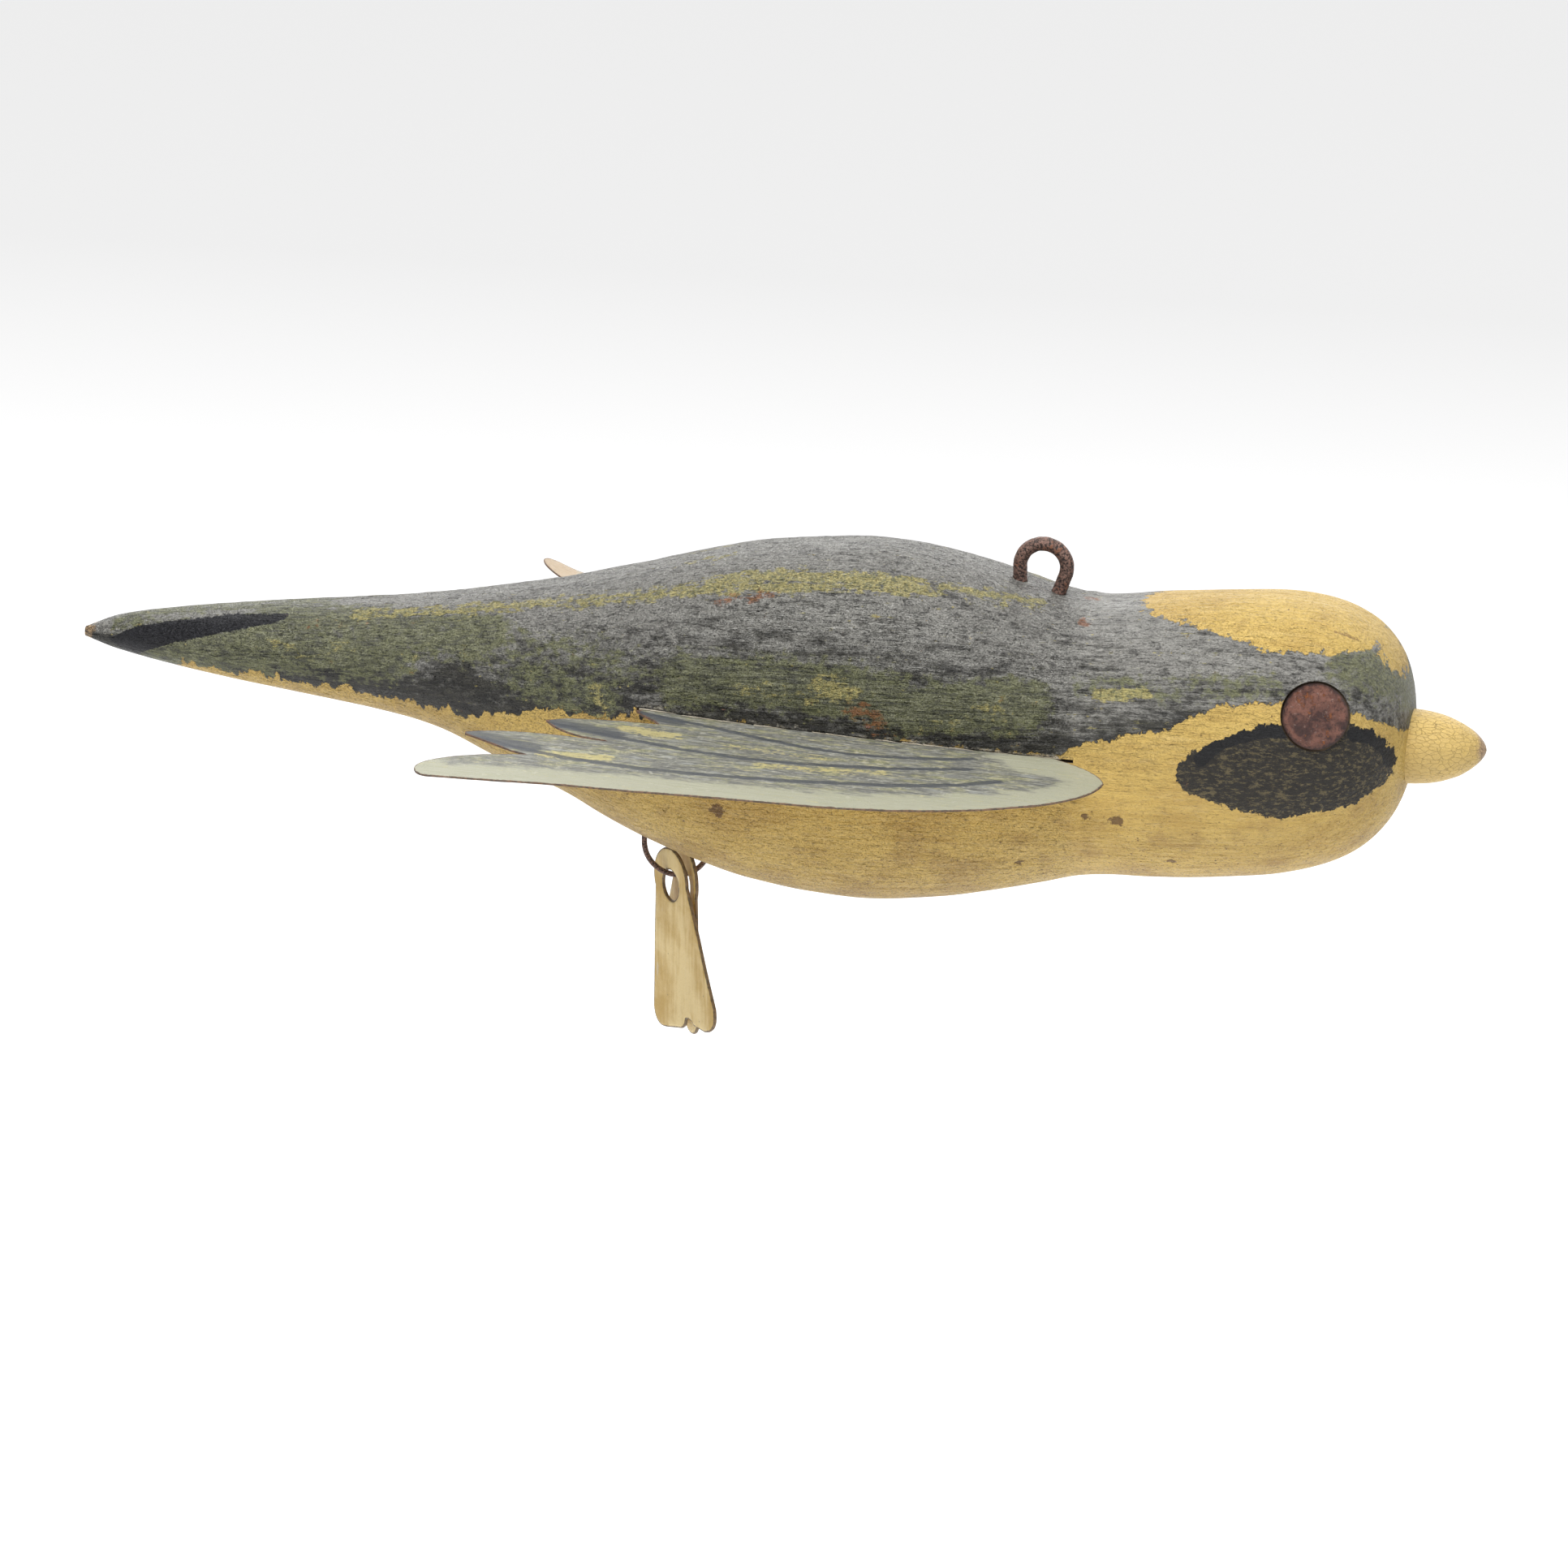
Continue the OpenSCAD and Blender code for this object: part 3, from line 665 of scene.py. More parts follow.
BARE_TIN = (0.42, 0.29, 0.16)
BARE_TIN_SHADE = (0.15, 0.07, 0.035)
WING_EDGE_DARK = (0.05, 0.028, 0.02)
WING_EDGE_RUST = (0.17, 0.085, 0.045)
FOOT_SCUFF = (0.62, 0.55, 0.42)
FOOT_SPECK = (0.12, 0.07, 0.035)
FOOT_EDGE_DARK = (0.05, 0.03, 0.02)
FOOT_EDGE_RUST = (0.15, 0.085, 0.045)
FIBRE_PALE = (0.62, 0.58, 0.50)
FIBRE_SHADE = (0.34, 0.28, 0.17)


def painted_wood(colours):
    f = Finish("painted_wood")
    spot = f.place()
    along = f.place((0.07, 1.0, 1.0))
    grain = f.noise(along, 1.6, 5, 0.65)
    strokes = f.noise(along, 0.55, 5, 0.7)
    broad = f.noise(spot, 0.035, 3, 0.5)
    fine = f.noise(spot, 1.1, 4, 0.6)
    teeth = f.noise(f.place((0.75, 0.22, 0.22)), 0.6, 3, 0.6)
    drips = f.noise(f.place((0.24, 0.05, 0.05)), 0.9, 2, 0.5)
    crumbs = f.noise(spot, 0.45, 4, 0.6)
    dirt = f.noise(spot, 1.9, 5, 0.75)
    belly = f.mark("belly")
    ragged = f.mark("ragged")

    # where the dark paint lies
    dark = f.step(f.mark("line") + (teeth - 0.5) * ragged * 5.5 + (drips - 0.5) * ragged * 7.0
                  + (crumbs - 0.5) * 2.5 + (fine - 0.5) * 3.0, -0.16, 0.16)
    crown = f.step(f.mark("crown") + (crumbs - 0.5) * 4.5 + (teeth - 0.5) * 1.6 + (fine - 0.5) * 2.0, -0.16,
                   0.16)
    dark = dark * (1 - crown)

    # yellow, with dirt in the grain, growing darker and more flecked towards the bottom of the belly
    yellow = f.mix(f.step(broad + (strokes - 0.5) * 0.7, 0.38, 0.70) * 0.42, colours.ochre,
                   colours.deep_ochre)
    yellow = f.mix(f.step(grain, 0.56, 0.76) * 0.34, yellow, colours.deep_ochre)
    pale = f.step(f.noise(f.place((0.10, 0.8, 0.8)), 0.4, 5, 0.7), 0.52, 0.72)
    yellow = f.mix(pale * 0.35, yellow, PALE_OCHRE)
    grime = f.step(f.noise(spot, 0.09, 6, 0.7) + belly * 0.12, 0.54, 0.74)
    yellow = f.mix(grime * 0.40, yellow, GRIME)
    dust = f.step(dirt + belly * 0.085 + (grain - 0.5) * 0.25, 0.60, 0.70)
    yellow = f.mix(dust * (0.30 + belly * 0.55), yellow, DUST)
    bloom = f.step(f.noise(f.place((0.3, 1, 1)), 0.75, 5, 0.75), 0.56, 0.70)
    yellow = f.mix(bloom * (0.12 + belly * 0.25), yellow, BLOOM)
    scar = f.step(f.mark("scar") + (fine - 0.5) * 1.6, 0.45, 0.7)
    yellow = f.mix(scar * 0.6, yellow, SCAR)
    dots = f.step(f.noise(spot, 1.1, 6, 0.8) + belly * 0.05, 0.60, 0.66)
    yellow = f.mix(dots * (0.15 + belly * 0.45), yellow, DIRT_DOTS)
    specks = f.step(f.cells(spot, 0.36) + (dirt - 0.5) * 0.25, 0.13,
                    0.07) * f.step(f.noise(spot, 0.16, 2) + belly * 0.08, 0.50, 0.62)
    yellow = f.mix(specks * 0.75, yellow, SPECK)

    # dark back: soot and charcoal brushed lengthwise, moss and lime worked in
    black = f.mix(f.step(strokes, 0.36, 0.64), colours.soot, colours.charcoal)
    black = f.mix(f.step(grain, 0.52, 0.78) * 0.40, black, f.mix(0.5, colours.moss, colours.charcoal))
    # painted sheen: the dark paint turns light grey towards the top of the back and along the tail side, where
    # the lamps shine on it; brush noise breaks it up
    high = f.mark("sheen")
    brushed = f.noise(f.place((0.16, 0.9, 0.9)), 0.42, 6, 0.78)
    sheen_grey = f.step(high * 0.62 + (brushed - 0.5) * 1.9 + (crumbs - 0.5) * 0.7, 0.10, 0.66)
    black = f.mix(sheen_grey * 0.85, black, colours.sheen_grey)
    mottle = f.step(f.noise(f.place((0.45, 1, 1)), 0.55, 6, 0.8), 0.53, 0.63)
    black = f.mix(mottle * 0.7, black, colours.soot)
    split = f.step(f.noise(f.place((0.06, 1.1, 1.1)), 0.75, 5, 0.7), 0.40, 0.34)
    black = f.mix(split * 0.7, black, colours.soot)
    moss = f.step(f.mark("moss") * 0.66 + strokes * 0.8 + (crumbs - 0.5) * 1.0 + (fine - 0.5) * 0.4, 0.66,
                  0.92)
    black = f.mix(moss * 0.85, black,
                  f.mix(f.step(grain + (crumbs - 0.5) * 0.5, 0.33, 0.60), DEEP_MOSS, colours.moss))
    dry = f.step(f.mark("moss") * 0.35 + (grain - 0.5) * 1.6 + (dirt - 0.5) * 1.2, 0.34, 0.60)
    black = f.mix(dry * 0.6, black, DRY_MOSS)
    lime = f.step(f.mark("lime") * 0.72 + (strokes - 0.5) * 1.6 + (grain - 0.5) * 1.1
                  + (crumbs - 0.5) * 1.8, 0.38, 0.62)
    black = f.mix(lime * 0.85, black, f.mix(f.step(fine, 0.3, 0.62), colours.moss, colours.lime))
    flecks = f.step(f.cells(f.place((0.5, 1, 1)), 0.5) + (fine - 0.5) * 0.3, 0.12,
                    0.05) * f.step(f.noise(spot, 0.11, 2), 0.50, 0.6)
    black = f.mix(flecks * 0.75, black, colours.lime)
    rust = f.step(f.mark("rust") * 0.8 + (crumbs - 0.5) * 2.2 + (grain - 0.5) * 1.2, 0.45, 0.85)
    black = f.mix(rust * 0.75, black, f.mix(0.3, colours.rust, colours.charcoal))
    night = f.step(f.mark("night") + (fine - 0.5) * 1.2, -0.1, 0.1)
    black = f.mix(night, black, colours.night)

    # cheek patch, thin enough for the yellow to show through its brush marks
    cheek = f.step(f.mark("cheek") + (teeth - 0.5) * 2.4 + (crumbs - 0.5) * 3.2 + (fine - 0.5) * 2.4, -0.14,
                   0.14)
    thin = f.step(f.noise(f.place((0.34, 0.9, 0.9)), 1.3, 6, 0.8), 0.50, 0.60)
    cheek_paint = f.mix(thin * 0.75, CHEEK_DARK, CHEEK_THIN)
    crescent = f.step(f.mark("crescent") + (fine - 0.5) * 1.0 + (teeth - 0.5) * 1.2, -0.1, 0.12)
    cheek_paint = f.mix(crescent, cheek_paint, CRESCENT_BLACK)

    colour = f.mix(dark, yellow, black)
    colour = f.mix(cheek, colour, cheek_paint)

    # wear: dings, the worn bare tail tip and the torn edge of the saw kerf; painted sheen on the lip by the
    # line loop and painted shadow along the kerf
    ding = f.step(f.mark("ding") + (crumbs - 0.5) * 2.4 + (dirt - 0.5) * 1.2, 0.45, 0.75)
    colour = f.mix(ding * 0.8, colour, DING_BROWN)
    bare = f.step(f.mark("bare") + (crumbs - 0.5) * 1.6, 0.4, 0.6)
    colour = f.mix(bare, colour, f.mix(f.step(grain, 0.35, 0.65), BARE_SHADE, colours.bare_wood))
    # partly painted sheen: the lip by the line loop is mottled light grey standing in for the lamps' shine,
    # with dark cracks between
    lip = f.step(f.mark("lip") + (crumbs - 0.5) * 1.6, 0.4, 0.6)
    colour = f.mix(lip * 0.8, colour, f.mix(f.step(fine, 0.4, 0.6), LIP_CRACK, LIP_GREY))
    flake = f.step(f.mark("kerf") + (crumbs - 0.5) * 4.5, 1.0, 0.4) * f.step(f.noise(spot, 0.12, 2), 0.48,
            0.56)
    colour = f.mix(flake * 0.75, colour, TORN_EDGE)
    # painted shadow: near-black line along the saw kerf, where the wing's root sits in the slot
    gap = f.step(f.mark("kerf") + (fine - 0.5) * 0.8, 0.55, 0.25)
    colour = f.mix(gap * 0.9, colour, KERF_SHADOW)

    pebble = f.mark("pebble")
    lumps = f.noise(spot, 0.62, 3, 0.6) * pebble
    wrinkles = f.noise(f.place((0.20, 1.0, 1.0)), 0.8, 4, 0.65)
    ridges = f.noise(f.place((0.045, 1.0, 1.0)), 1.5, 4, 0.65)
    coarse = f.bump(lumps * 1.9 + wrinkles * (0.4 + pebble * 0.8), 0.0032, 1.0)
    relief = ridges * (0.5 + dark * 0.9) + fine * 0.6 + dark * 0.35 + lime * 0.2
    normal = f.bump(relief, 0.0011, 0.9, coarse)
    rough = 0.34 + (1 - dark) * 0.14 + (strokes - 0.5) * 0.4 + (fine - 0.5) * 0.25
    return f.surface(colour, rough, normal, specular=0.35)


def raw_wood():
    f = Finish("cut_wood")
    grain = f.noise(f.place((0.05, 1.0, 1.0)), 1.8, 5, 0.65)
    colour = f.mix(f.step(grain, 0.3, 0.7), CUT_WOOD, CUT_SHADE)
    return f.surface(colour, 0.85, f.bump(grain, 0.0004))


def beak_paint(colours):
    f = Finish("beak_paint")
    spot = f.place()
    grain = f.noise(f.place((0.12, 1, 1)), 1.2, 5, 0.65)
    broad = f.noise(spot, 0.12, 3)
    dirt = f.noise(spot, 1.7, 5, 0.72)
    craze = f.step(f.node("ShaderNodeTexVoronoi", {"feature": "DISTANCE_TO_EDGE"},
                          {"Vector": f.place((0.5, 1, 1)), "Scale": 0.9}) + (dirt - 0.5) * 0.12, 0.035, 0.0)
    tip = f.step(f.mark("tip") + (broad - 0.5) * 0.5 + (dirt - 0.5) * 0.25, 0.80, 0.94)
    paint = f.mix(f.step(broad + (grain - 0.5) * 0.8, 0.40, 0.72) * 0.4, BEAK_OCHRE, colours.ochre)
    colour = f.mix(f.step(dirt, 0.60, 0.70) * 0.35, paint, BEAK_DIRT)
    colour = f.mix(tip * 0.8, colour, f.mix(f.step(dirt, 0.4, 0.6), BEAK_TIP, BEAK_TIP_SHADE))
    colour = f.mix(craze * f.step(broad, 0.50, 0.62) * 0.3, colour, CRAZE)
    root = f.step(f.mark("root") + (grain - 0.5) * 0.5, 0.6, 0.85)
    colour = f.mix(root * 0.7, colour, colours.charcoal)
    relief = grain * 0.5 + f.noise(spot, 0.6, 4) * 0.5 + dirt * 0.25 - craze * 0.2
    return f.surface(colour, 0.48 + (grain - 0.5) * 0.3, f.bump(relief, 0.0007))


def browned_iron(name, colours, redness, scale):
    f = Finish(name)
    spot = f.place()
    blotch = f.noise(spot, 0.35 * scale, 5, 0.65)
    pits = f.noise(spot, 1.6 * scale, 4, 0.65)
    crust = f.step(blotch + (pits - 0.5) * 0.6, 0.60 - 0.16 * redness, 0.74 - 0.1 * redness)
    colour = f.mix(f.step(pits, 0.38, 0.62), IRON_PIT, colours.iron)
    colour = f.mix(crust * (0.35 + 0.4 * redness), colour, f.mix(0.4, colours.rust, RUST_CRUST))
    relief = blotch * 0.6 + pits * 0.8
    return f.surface(colour, 0.44 + (pits - 0.5) * 0.5 + crust * 0.2, f.bump(relief, 0.0005),
                     metallic=0.35 - 0.25 * redness)


def eye_rust(colours):
    f = Finish("eye_rust")
    spot = f.place()
    blotch = f.noise(spot, 0.26, 5, 0.62, 0.4)
    pits = f.noise(spot, 1.1, 6, 0.75)
    base = f.mix(f.step(blotch, 0.38, 0.62), EYE_DARK, EYE_RED)
    base = f.mix(f.step(pits, 0.50, 0.66) * 0.75, base, EYE_PIT)
    pale = f.step(f.noise(spot, 0.8, 5, 0.7), 0.58, 0.72)
    base = f.mix(pale * 0.65, base, EYE_PALE)
    orange = f.step(f.noise(spot, 0.42, 4, 0.65) + (pits - 0.5) * 0.5, 0.60, 0.70)
    base = f.mix(orange * 0.7, base, colours.rust)
    rim = f.step(f.mark("rim") + (pits - 0.5) * 0.25, 0.88, 0.99)
    base = f.mix(rim * 0.7, base, EYE_RIM)
    relief = blotch * 0.5 + pits * 1.1 + orange * 0.3
    return f.surface(base, 0.48 + (pits - 0.5) * 0.5, f.bump(relief, 0.0007), metallic=0.15)


def wing_paint(colours):
    f = Finish("wing_paint")
    spot = f.place()
    strokes = f.noise(f.place((0.07, 0.8, 1.0)), 1.0, 5, 0.68)
    hair = f.noise(f.place((0.05, 1.6, 1.0)), 1.5, 4, 0.65)
    dabs = f.noise(f.place((0.30, 0.9, 1.0)), 0.36, 6, 0.75)
    crumbs = f.noise(f.place((0.7, 1.0, 1.0)), 0.85, 5, 0.75)
    fine = f.noise(spot, 1.2, 4, 0.6)
    outer = f.mark("outer")
    pale = f.mix(f.step(strokes + (crumbs - 0.5) * 0.4, 0.36, 0.68) * 0.6, colours.wing_pale,
                 f.mix(0.35, colours.wing_pale, colours.moss))
    grey = f.mix(f.step(hair + (crumbs - 0.5) * 0.6, 0.38, 0.66), WING_SMOKE, WING_GREY)
    inner = f.step(outer + (strokes - 0.5) * 0.6 + (dabs - 0.5) * 1.0, 0.62, 0.36)
    colour = f.mix(inner * 0.93, pale, grey)
    olive = f.step(dabs + (hair - 0.5) * 0.5, 0.50, 0.62) * inner
    colour = f.mix(olive * 0.7, colour,
                   f.mix(f.step(crumbs, 0.42, 0.62), colours.moss,
                         f.mix(0.5, colours.lime, colours.wing_pale)))
    silver = f.step(f.noise(f.place((0.16, 0.9, 1.0)), 0.5, 6, 0.75), 0.54, 0.68) * inner
    colour = f.mix(silver * 0.6, colour, WING_SILVER)
    scuff = f.step(crumbs + (strokes - 0.5) * 0.6, 0.60, 0.70)
    colour = f.mix(scuff * 0.5, colour, WING_SCUFF)
    streak = f.step(f.noise(f.place((0.10, 1.0, 1.0)), 0.7, 6, 0.8), 0.54, 0.66)
    colour = f.mix(streak * 0.6, colour, f.mix(f.step(crumbs, 0.45, 0.6), WING_STREAK, colours.lime))
    under = f.step(f.mark("chip") + (crumbs - 0.5) * 2.0 + (strokes - 0.5) * 1.4, 0.50, 0.72)
    colour = f.mix(under * 0.65, colour, colours.lime)
    line = f.step(f.mark("feather") + (hair - 0.5) * 0.5 + (crumbs - 0.5) * 0.7, 0.95, 0.62)
    colour = f.mix(line * 0.85, colour, colours.wing_line)
    tipdark = f.step(f.mark("tipdark") + (strokes - 0.5) * 0.9 + (crumbs - 0.5) * 1.0, 0.45, 0.75)
    colour = f.mix(tipdark * 0.8, colour, colours.wing_line)
    below = f.mark("underside")
    belly_side = f.mix(f.step(strokes, 0.4, 0.7) * 0.6, colours.ochre, colours.deep_ochre)
    colour = f.mix(f.step(below, 0.4, 0.6), colour,
                   f.mix(f.step(crumbs, 0.62, 0.72) * 0.5, belly_side, UNDER_DIRT))
    worn = f.step(f.mark("bare_tip") + (crumbs - 0.5) * 1.6 + (strokes - 0.5) * 1.2, 0.45, 0.7)
    colour = f.mix(worn * 0.85, colour, f.mix(f.step(crumbs, 0.55, 0.7), BARE_TIN, BARE_TIN_SHADE))
    edge = f.step(f.mark("edge") + (crumbs - 0.5) * 1.3, 0.40, 0.10)
    colour = f.mix(edge * 0.9, colour, f.mix(f.step(fine, 0.4, 0.6), WING_EDGE_DARK, WING_EDGE_RUST))
    relief = strokes * 0.5 + hair * 0.4 + crumbs * 0.5 + line * 0.15
    rough = 0.40 + (strokes - 0.5) * 0.3 + edge * 0.2
    return f.surface(colour, rough, f.bump(relief, 0.0006))


def foot_paint(colours):
    f = Finish("foot_paint")
    spot = f.place()
    broad = f.noise(spot, 0.08, 4)
    fine = f.noise(spot, 1.0, 4, 0.65)
    runs = f.noise(f.place((1, 1, 0.12)), 0.8, 4)
    colour = f.mix(f.step(broad + (runs - 0.5) * 0.4, 0.35, 0.7), colours.foot_cream,
                   f.mix(0.4, colours.ochre, colours.deep_ochre))
    scuff = f.step(f.noise(f.place((0.6, 0.6, 0.2)), 0.5, 5, 0.7), 0.63, 0.7)
    colour = f.mix(scuff * 0.5, colour, FOOT_SCUFF)
    speck = f.step(f.cells(spot, 0.3), 0.1, 0.04)
    colour = f.mix(speck * 0.5, colour, FOOT_SPECK)
    edge = f.step(f.mark("edge") + (fine - 0.5) * 0.55, 0.42, 0.14)
    colour = f.mix(edge * 0.88, colour, f.mix(f.step(fine, 0.4, 0.6), FOOT_EDGE_DARK, FOOT_EDGE_RUST))
    relief = runs * 0.4 + fine * 0.3 + broad * 0.5
    return f.surface(colour, 0.5 + (fine - 0.5) * 0.25, f.bump(relief, 0.0005))


def fibre_finish():
    f = Finish("torn_fibre")
    grain = f.noise(f.place((0.2, 1, 1)), 3.0, 3)
    colour = f.mix(grain, FIBRE_PALE, FIBRE_SHADE)
    return f.surface(colour, 0.8, f.bump(grain, 0.0002))


def floor_finish():
    f = Finish("studio_floor")
    tone = f.noise(f.place((0.001, 0.001, 0.001)), 3.0, 2)
    colour = f.mix(tone * 0.05, (0.93, 0.93, 0.93), (0.90, 0.90, 0.90))
    material = f.surface(colour, 0.9, f.bump(tone, 0.0001))
    shader = next(n for n in f.tree.nodes if n.type == "BSDF_PRINCIPLED")
    shader.inputs["Emission Color"].default_value = (1, 1, 1, 1)
    shader.inputs["Emission Strength"].default_value = 0.35
    return material


FINISHES = {}


def finish_of(name, make, *values):
    """The finish of that name, made the first time it is asked for."""
    if name not in FINISHES:
        FINISHES[name] = make(*values)
    return FINISHES[name]


# ---------------------------------------------------------------- places shared by pieces

def wing_plane(tin, block, side):
    """Carries a shape drawn flat, x along and y out, on to a wing's plane, in millimetres."""
    z = float(block.centre(block.breast_x)) + tin.wing_rise
    turn = (Matrix.Translation((block.breast_x, 0, z)) @ Matrix.Rotation(tin.fall, 4, "Y")
            @ Matrix.Rotation(-tin.droop, 4, "X") @ Matrix.Translation((-block.breast_x, 0, 0)))
    return (Matrix.Identity(4) if side == LEFT else Matrix.Scale(-1, 4, (0, 1, 0))) @ turn


def cheek_plane(eye, block, side):
    """Carries a shape drawn along +Z from the seat's floor on to the cheek, facing out."""
    x = block.head_x - eye.back
    z = float(block.centre(x)) + eye.rise
    y = float(block.side(x, z))
    turn = (Matrix.Translation((x, y, z)) @ Matrix.Rotation(math.radians(-12), 4, "Z")
            @ Matrix.Rotation(math.radians(21 - 90), 4, "X") @ Matrix.Translation((0, 0, -eye.seat)))
    return (Matrix.Identity(4) if side == LEFT else Matrix.Scale(-1, 4, (0, 1, 0))) @ turn


def ring_centre(wire, block):
    z = float(block.centre(-wire.belly_back)
              - block.half_depth(-wire.belly_back)) - wire.belly_drop + wire.belly_bend
    return Vector((-wire.belly_back, 0, z))


def mirrored_faces(faces, side):
    return faces if side == LEFT else [tuple(reversed(f)) for f in faces]


# ---------------------------------------------------------------- operators

class BuildCarving(bpy.types.Operator):
    """Carves and paints the block, with its saw kerfs, eye seats and wire holes"""
    bl_idname = "decoy.build_carving"
    bl_label = "Carved body"

    def loft(self, sizes, block):
        shares = list(np.linspace(0, CAP_START, sizes.rings - 46)) + [
            CAP_START + (1 - CAP_START) * math.sin(math.radians(88.5 * i / 46)) for i in range(1, 47)]
        points = []
        for s in shares:
            x = block.tail + s * block.length
            centre, half = float(block.centre(x)), float(block.half_depth(x))
            wide = float(block.half_breadth(x))
            for j in range(sizes.sides):
                a = 2 * math.pi * (j + 0.5) / sizes.sides
                c, d = math.cos(a), math.sin(a)
                y = wide * math.copysign(abs(c) ** (2 / SECTION_POWER), c)
                z = centre + half * math.copysign(abs(d) ** (2 / SECTION_POWER), d)
                points.append([x, y, z])
        n, last = sizes.sides, len(shares) - 1
        points.append([block.tail, 0, float(block.centre(block.tail))])
        points.append([block.head_x, 0, float(block.centre(block.head_x))])
        faces = [(i * n + j, (i + 1) * n + j, (i + 1) * n + (j + 1) % n,
                  i * n + (j + 1) % n) for i in range(last) for j in range(n)]
        faces = [tuple(reversed(f)) for f in faces]
        faces += [(len(shares) * n, (j + 1) % n, j) for j in range(n)]
        faces += [(len(shares) * n + 1, last * n + j, last * n + (j + 1) % n) for j in range(n)]
        return points, faces

    def knife_work(self, points, sizes, block):
        """Knife marks, a step behind the head and the dings, each along the ring's own direction."""
        rows = np.array(points)
        centre = block.centre(rows[:, 0])
        out = np.column_stack([np.zeros(len(rows)), rows[:, 1] / max(block.breadth, 1),
                               (rows[:, 2] - centre) / max(block.depth, 1)])
        out /= np.maximum(np.linalg.norm(out, axis=1), 1e-6)[:, None]
        push = np.zeros(len(rows))
        top = np.clip((rows[:, 2] - centre) / 12, 0, 1)
        for i, p in enumerate(rows):
            size = min(1.0, max(0.0, (p[0] - block.tail) / 60))
            push[i] = sizes.wobble * size * (0.9 * ripple((p[0] * 0.4, p[1], p[2]), 12,
                                                          3) + 0.5 * ripple((p[0] * 0.5, p[1], p[2]), 5.5, 7))
            if p[0] < 12.5:
                push[i] += 0.13 * top[i] * size * ripple(p, 2.6, 21)
        step = 0.35 * np.exp(-(((rows[:, 0] - 11.2) / 1.6) ** 2)) * np.clip((rows[:, 2] - centre) / 25, 0, 1)
        push += step
        for x, z, deep, wide in [(d[0][0], d[0][1], d[1], d[2]) for d in DINGS]:
            y = -float(block.side(x, z))
            away = np.linalg.norm(rows - np.array([x, y, z]), axis=1)
            push -= deep * np.exp(-((away / wide) ** 2))
        return rows + out * push[:, None]

    def cutters(self, scene, block, inner):
        """One mesh of everything that is sawn or bored out of the block."""
        tin, wire, eye = scene.decoy_tin, scene.decoy_wire, scene.decoy_eye
        points, faces = [], []

        def add(shape, matrix, flip=False):
            base = len(points)
            points.extend([tuple(matrix @ Vector(p)) for p in shape[0]])
            faces.extend([tuple(base + i for i in (reversed(f) if flip else f)) for f in shape[1]])

        root, flank = block.breadth / 2 - tin.wing_seat - 0.3, block.breadth / 2
        rear, front = -tin.wing_back + 49, tin.wing_front - 14.5
        flat = [(rear, root), (front + 2, root), (front + 12, flank + 20), (rear - 20, flank + 20)]
        half = tin.wing_thickness / 2 + 0.1
        slab = ([(x, y, -half) for x, y in flat] + [(x, y, half) for x, y in flat],
                [(3, 2, 1, 0), (4, 5, 6, 7), (0, 1, 5, 4), (1, 2, 6, 5), (2, 3, 7, 6), (3, 0, 4, 7)])
        bore = lathe([(0, 0), (eye.across / 2 + eye.gap, 0), (eye.across / 2 + eye.gap, eye.seat + 12),
                      (0, eye.seat + 12)], 72)
        for side in (RIGHT, LEFT):
            add(slab, wing_plane(tin, block, side), flip=side == RIGHT)
            add(bore, cheek_plane(eye, block, side), flip=side == RIGHT)

        def drill(centre, bend_radius, angle, leg, radius, forward):
            rod = lathe([(0, 0), (radius, 0), (radius, leg), (0, leg)], 40)
            turn = Matrix.Translation(centre) @ Matrix.Rotation(math.radians(-angle), 4, "Y")
            add(rod, turn @ Matrix.Translation((bend_radius, 0, 0 if forward else -leg)))

        crown = Vector((0, 0, wire.loop_wire / 2 - wire.loop_bend))
        radius = wire.loop_wire / 2 + 0.12
        drill(crown, wire.loop_bend, -20, 17.3, radius, False)
        drill(crown, wire.loop_bend, 180, 17.3, radius, True)
        ring = ring_centre(wire, block)
        radius = wire.belly_wire / 2 + 0.15
        drill(ring, wire.belly_bend, 180, 12.3, radius, False)
        drill(ring, wire.belly_bend, 332, 12.3, radius, True)
        return new_piece("carving_cutters", points, faces, [inner], None)

    def paint_marks(self, mesh, block, tin):
        rows = vertex_rows(mesh)
        flank = rows.copy()
        flank[:, 1] = np.abs(flank[:, 1])
        side_view = rows[:, [0, 2]]
        x, z = rows[:, 0], rows[:, 2]
        centre, half = block.centre(x), np.maximum(block.half_depth(x), 1)
        edge = np.array(DARK_EDGE)
        write_attribute(mesh, "line", z - np.interp(x, edge[:, 0], edge[:, 1]))
        write_attribute(mesh, "crown", patch_depth(side_view, CROWN))
        write_attribute(mesh, "cheek", patch_depth(side_view, CHEEK))
        write_attribute(mesh, "crescent",
                        1.9 - np.minimum(*(segment_distance(side_view, line) for line in CRESCENT)))
        write_attribute(mesh, "ragged", np.interp(x, [-110, -60, 0, 30], [1.0, 0.8, 0.45, 0.35]))
        write_attribute(mesh, "night", patch_depth(side_view, TAIL_TOUCH))
        write_attribute(mesh, "lime", stroke_weight(flank, LIME_STROKES, block))
        write_attribute(mesh, "moss", stroke_weight(flank, MOSS_STROKES, block))
        write_attribute(mesh, "rust", stroke_weight(flank, RUST_STROKES, block))
        write_attribute(mesh, "lip", stroke_weight(flank, LIP_STROKES, block))
        write_attribute(mesh, "scar", stroke_weight(flank, SCAR_STROKES, block))
        write_attribute(mesh, "bare", np.clip((block.tail + 4.5 - x) / 4, 0, 1))
        write_attribute(mesh, "belly", np.clip((centre - z) / half, 0, 1))
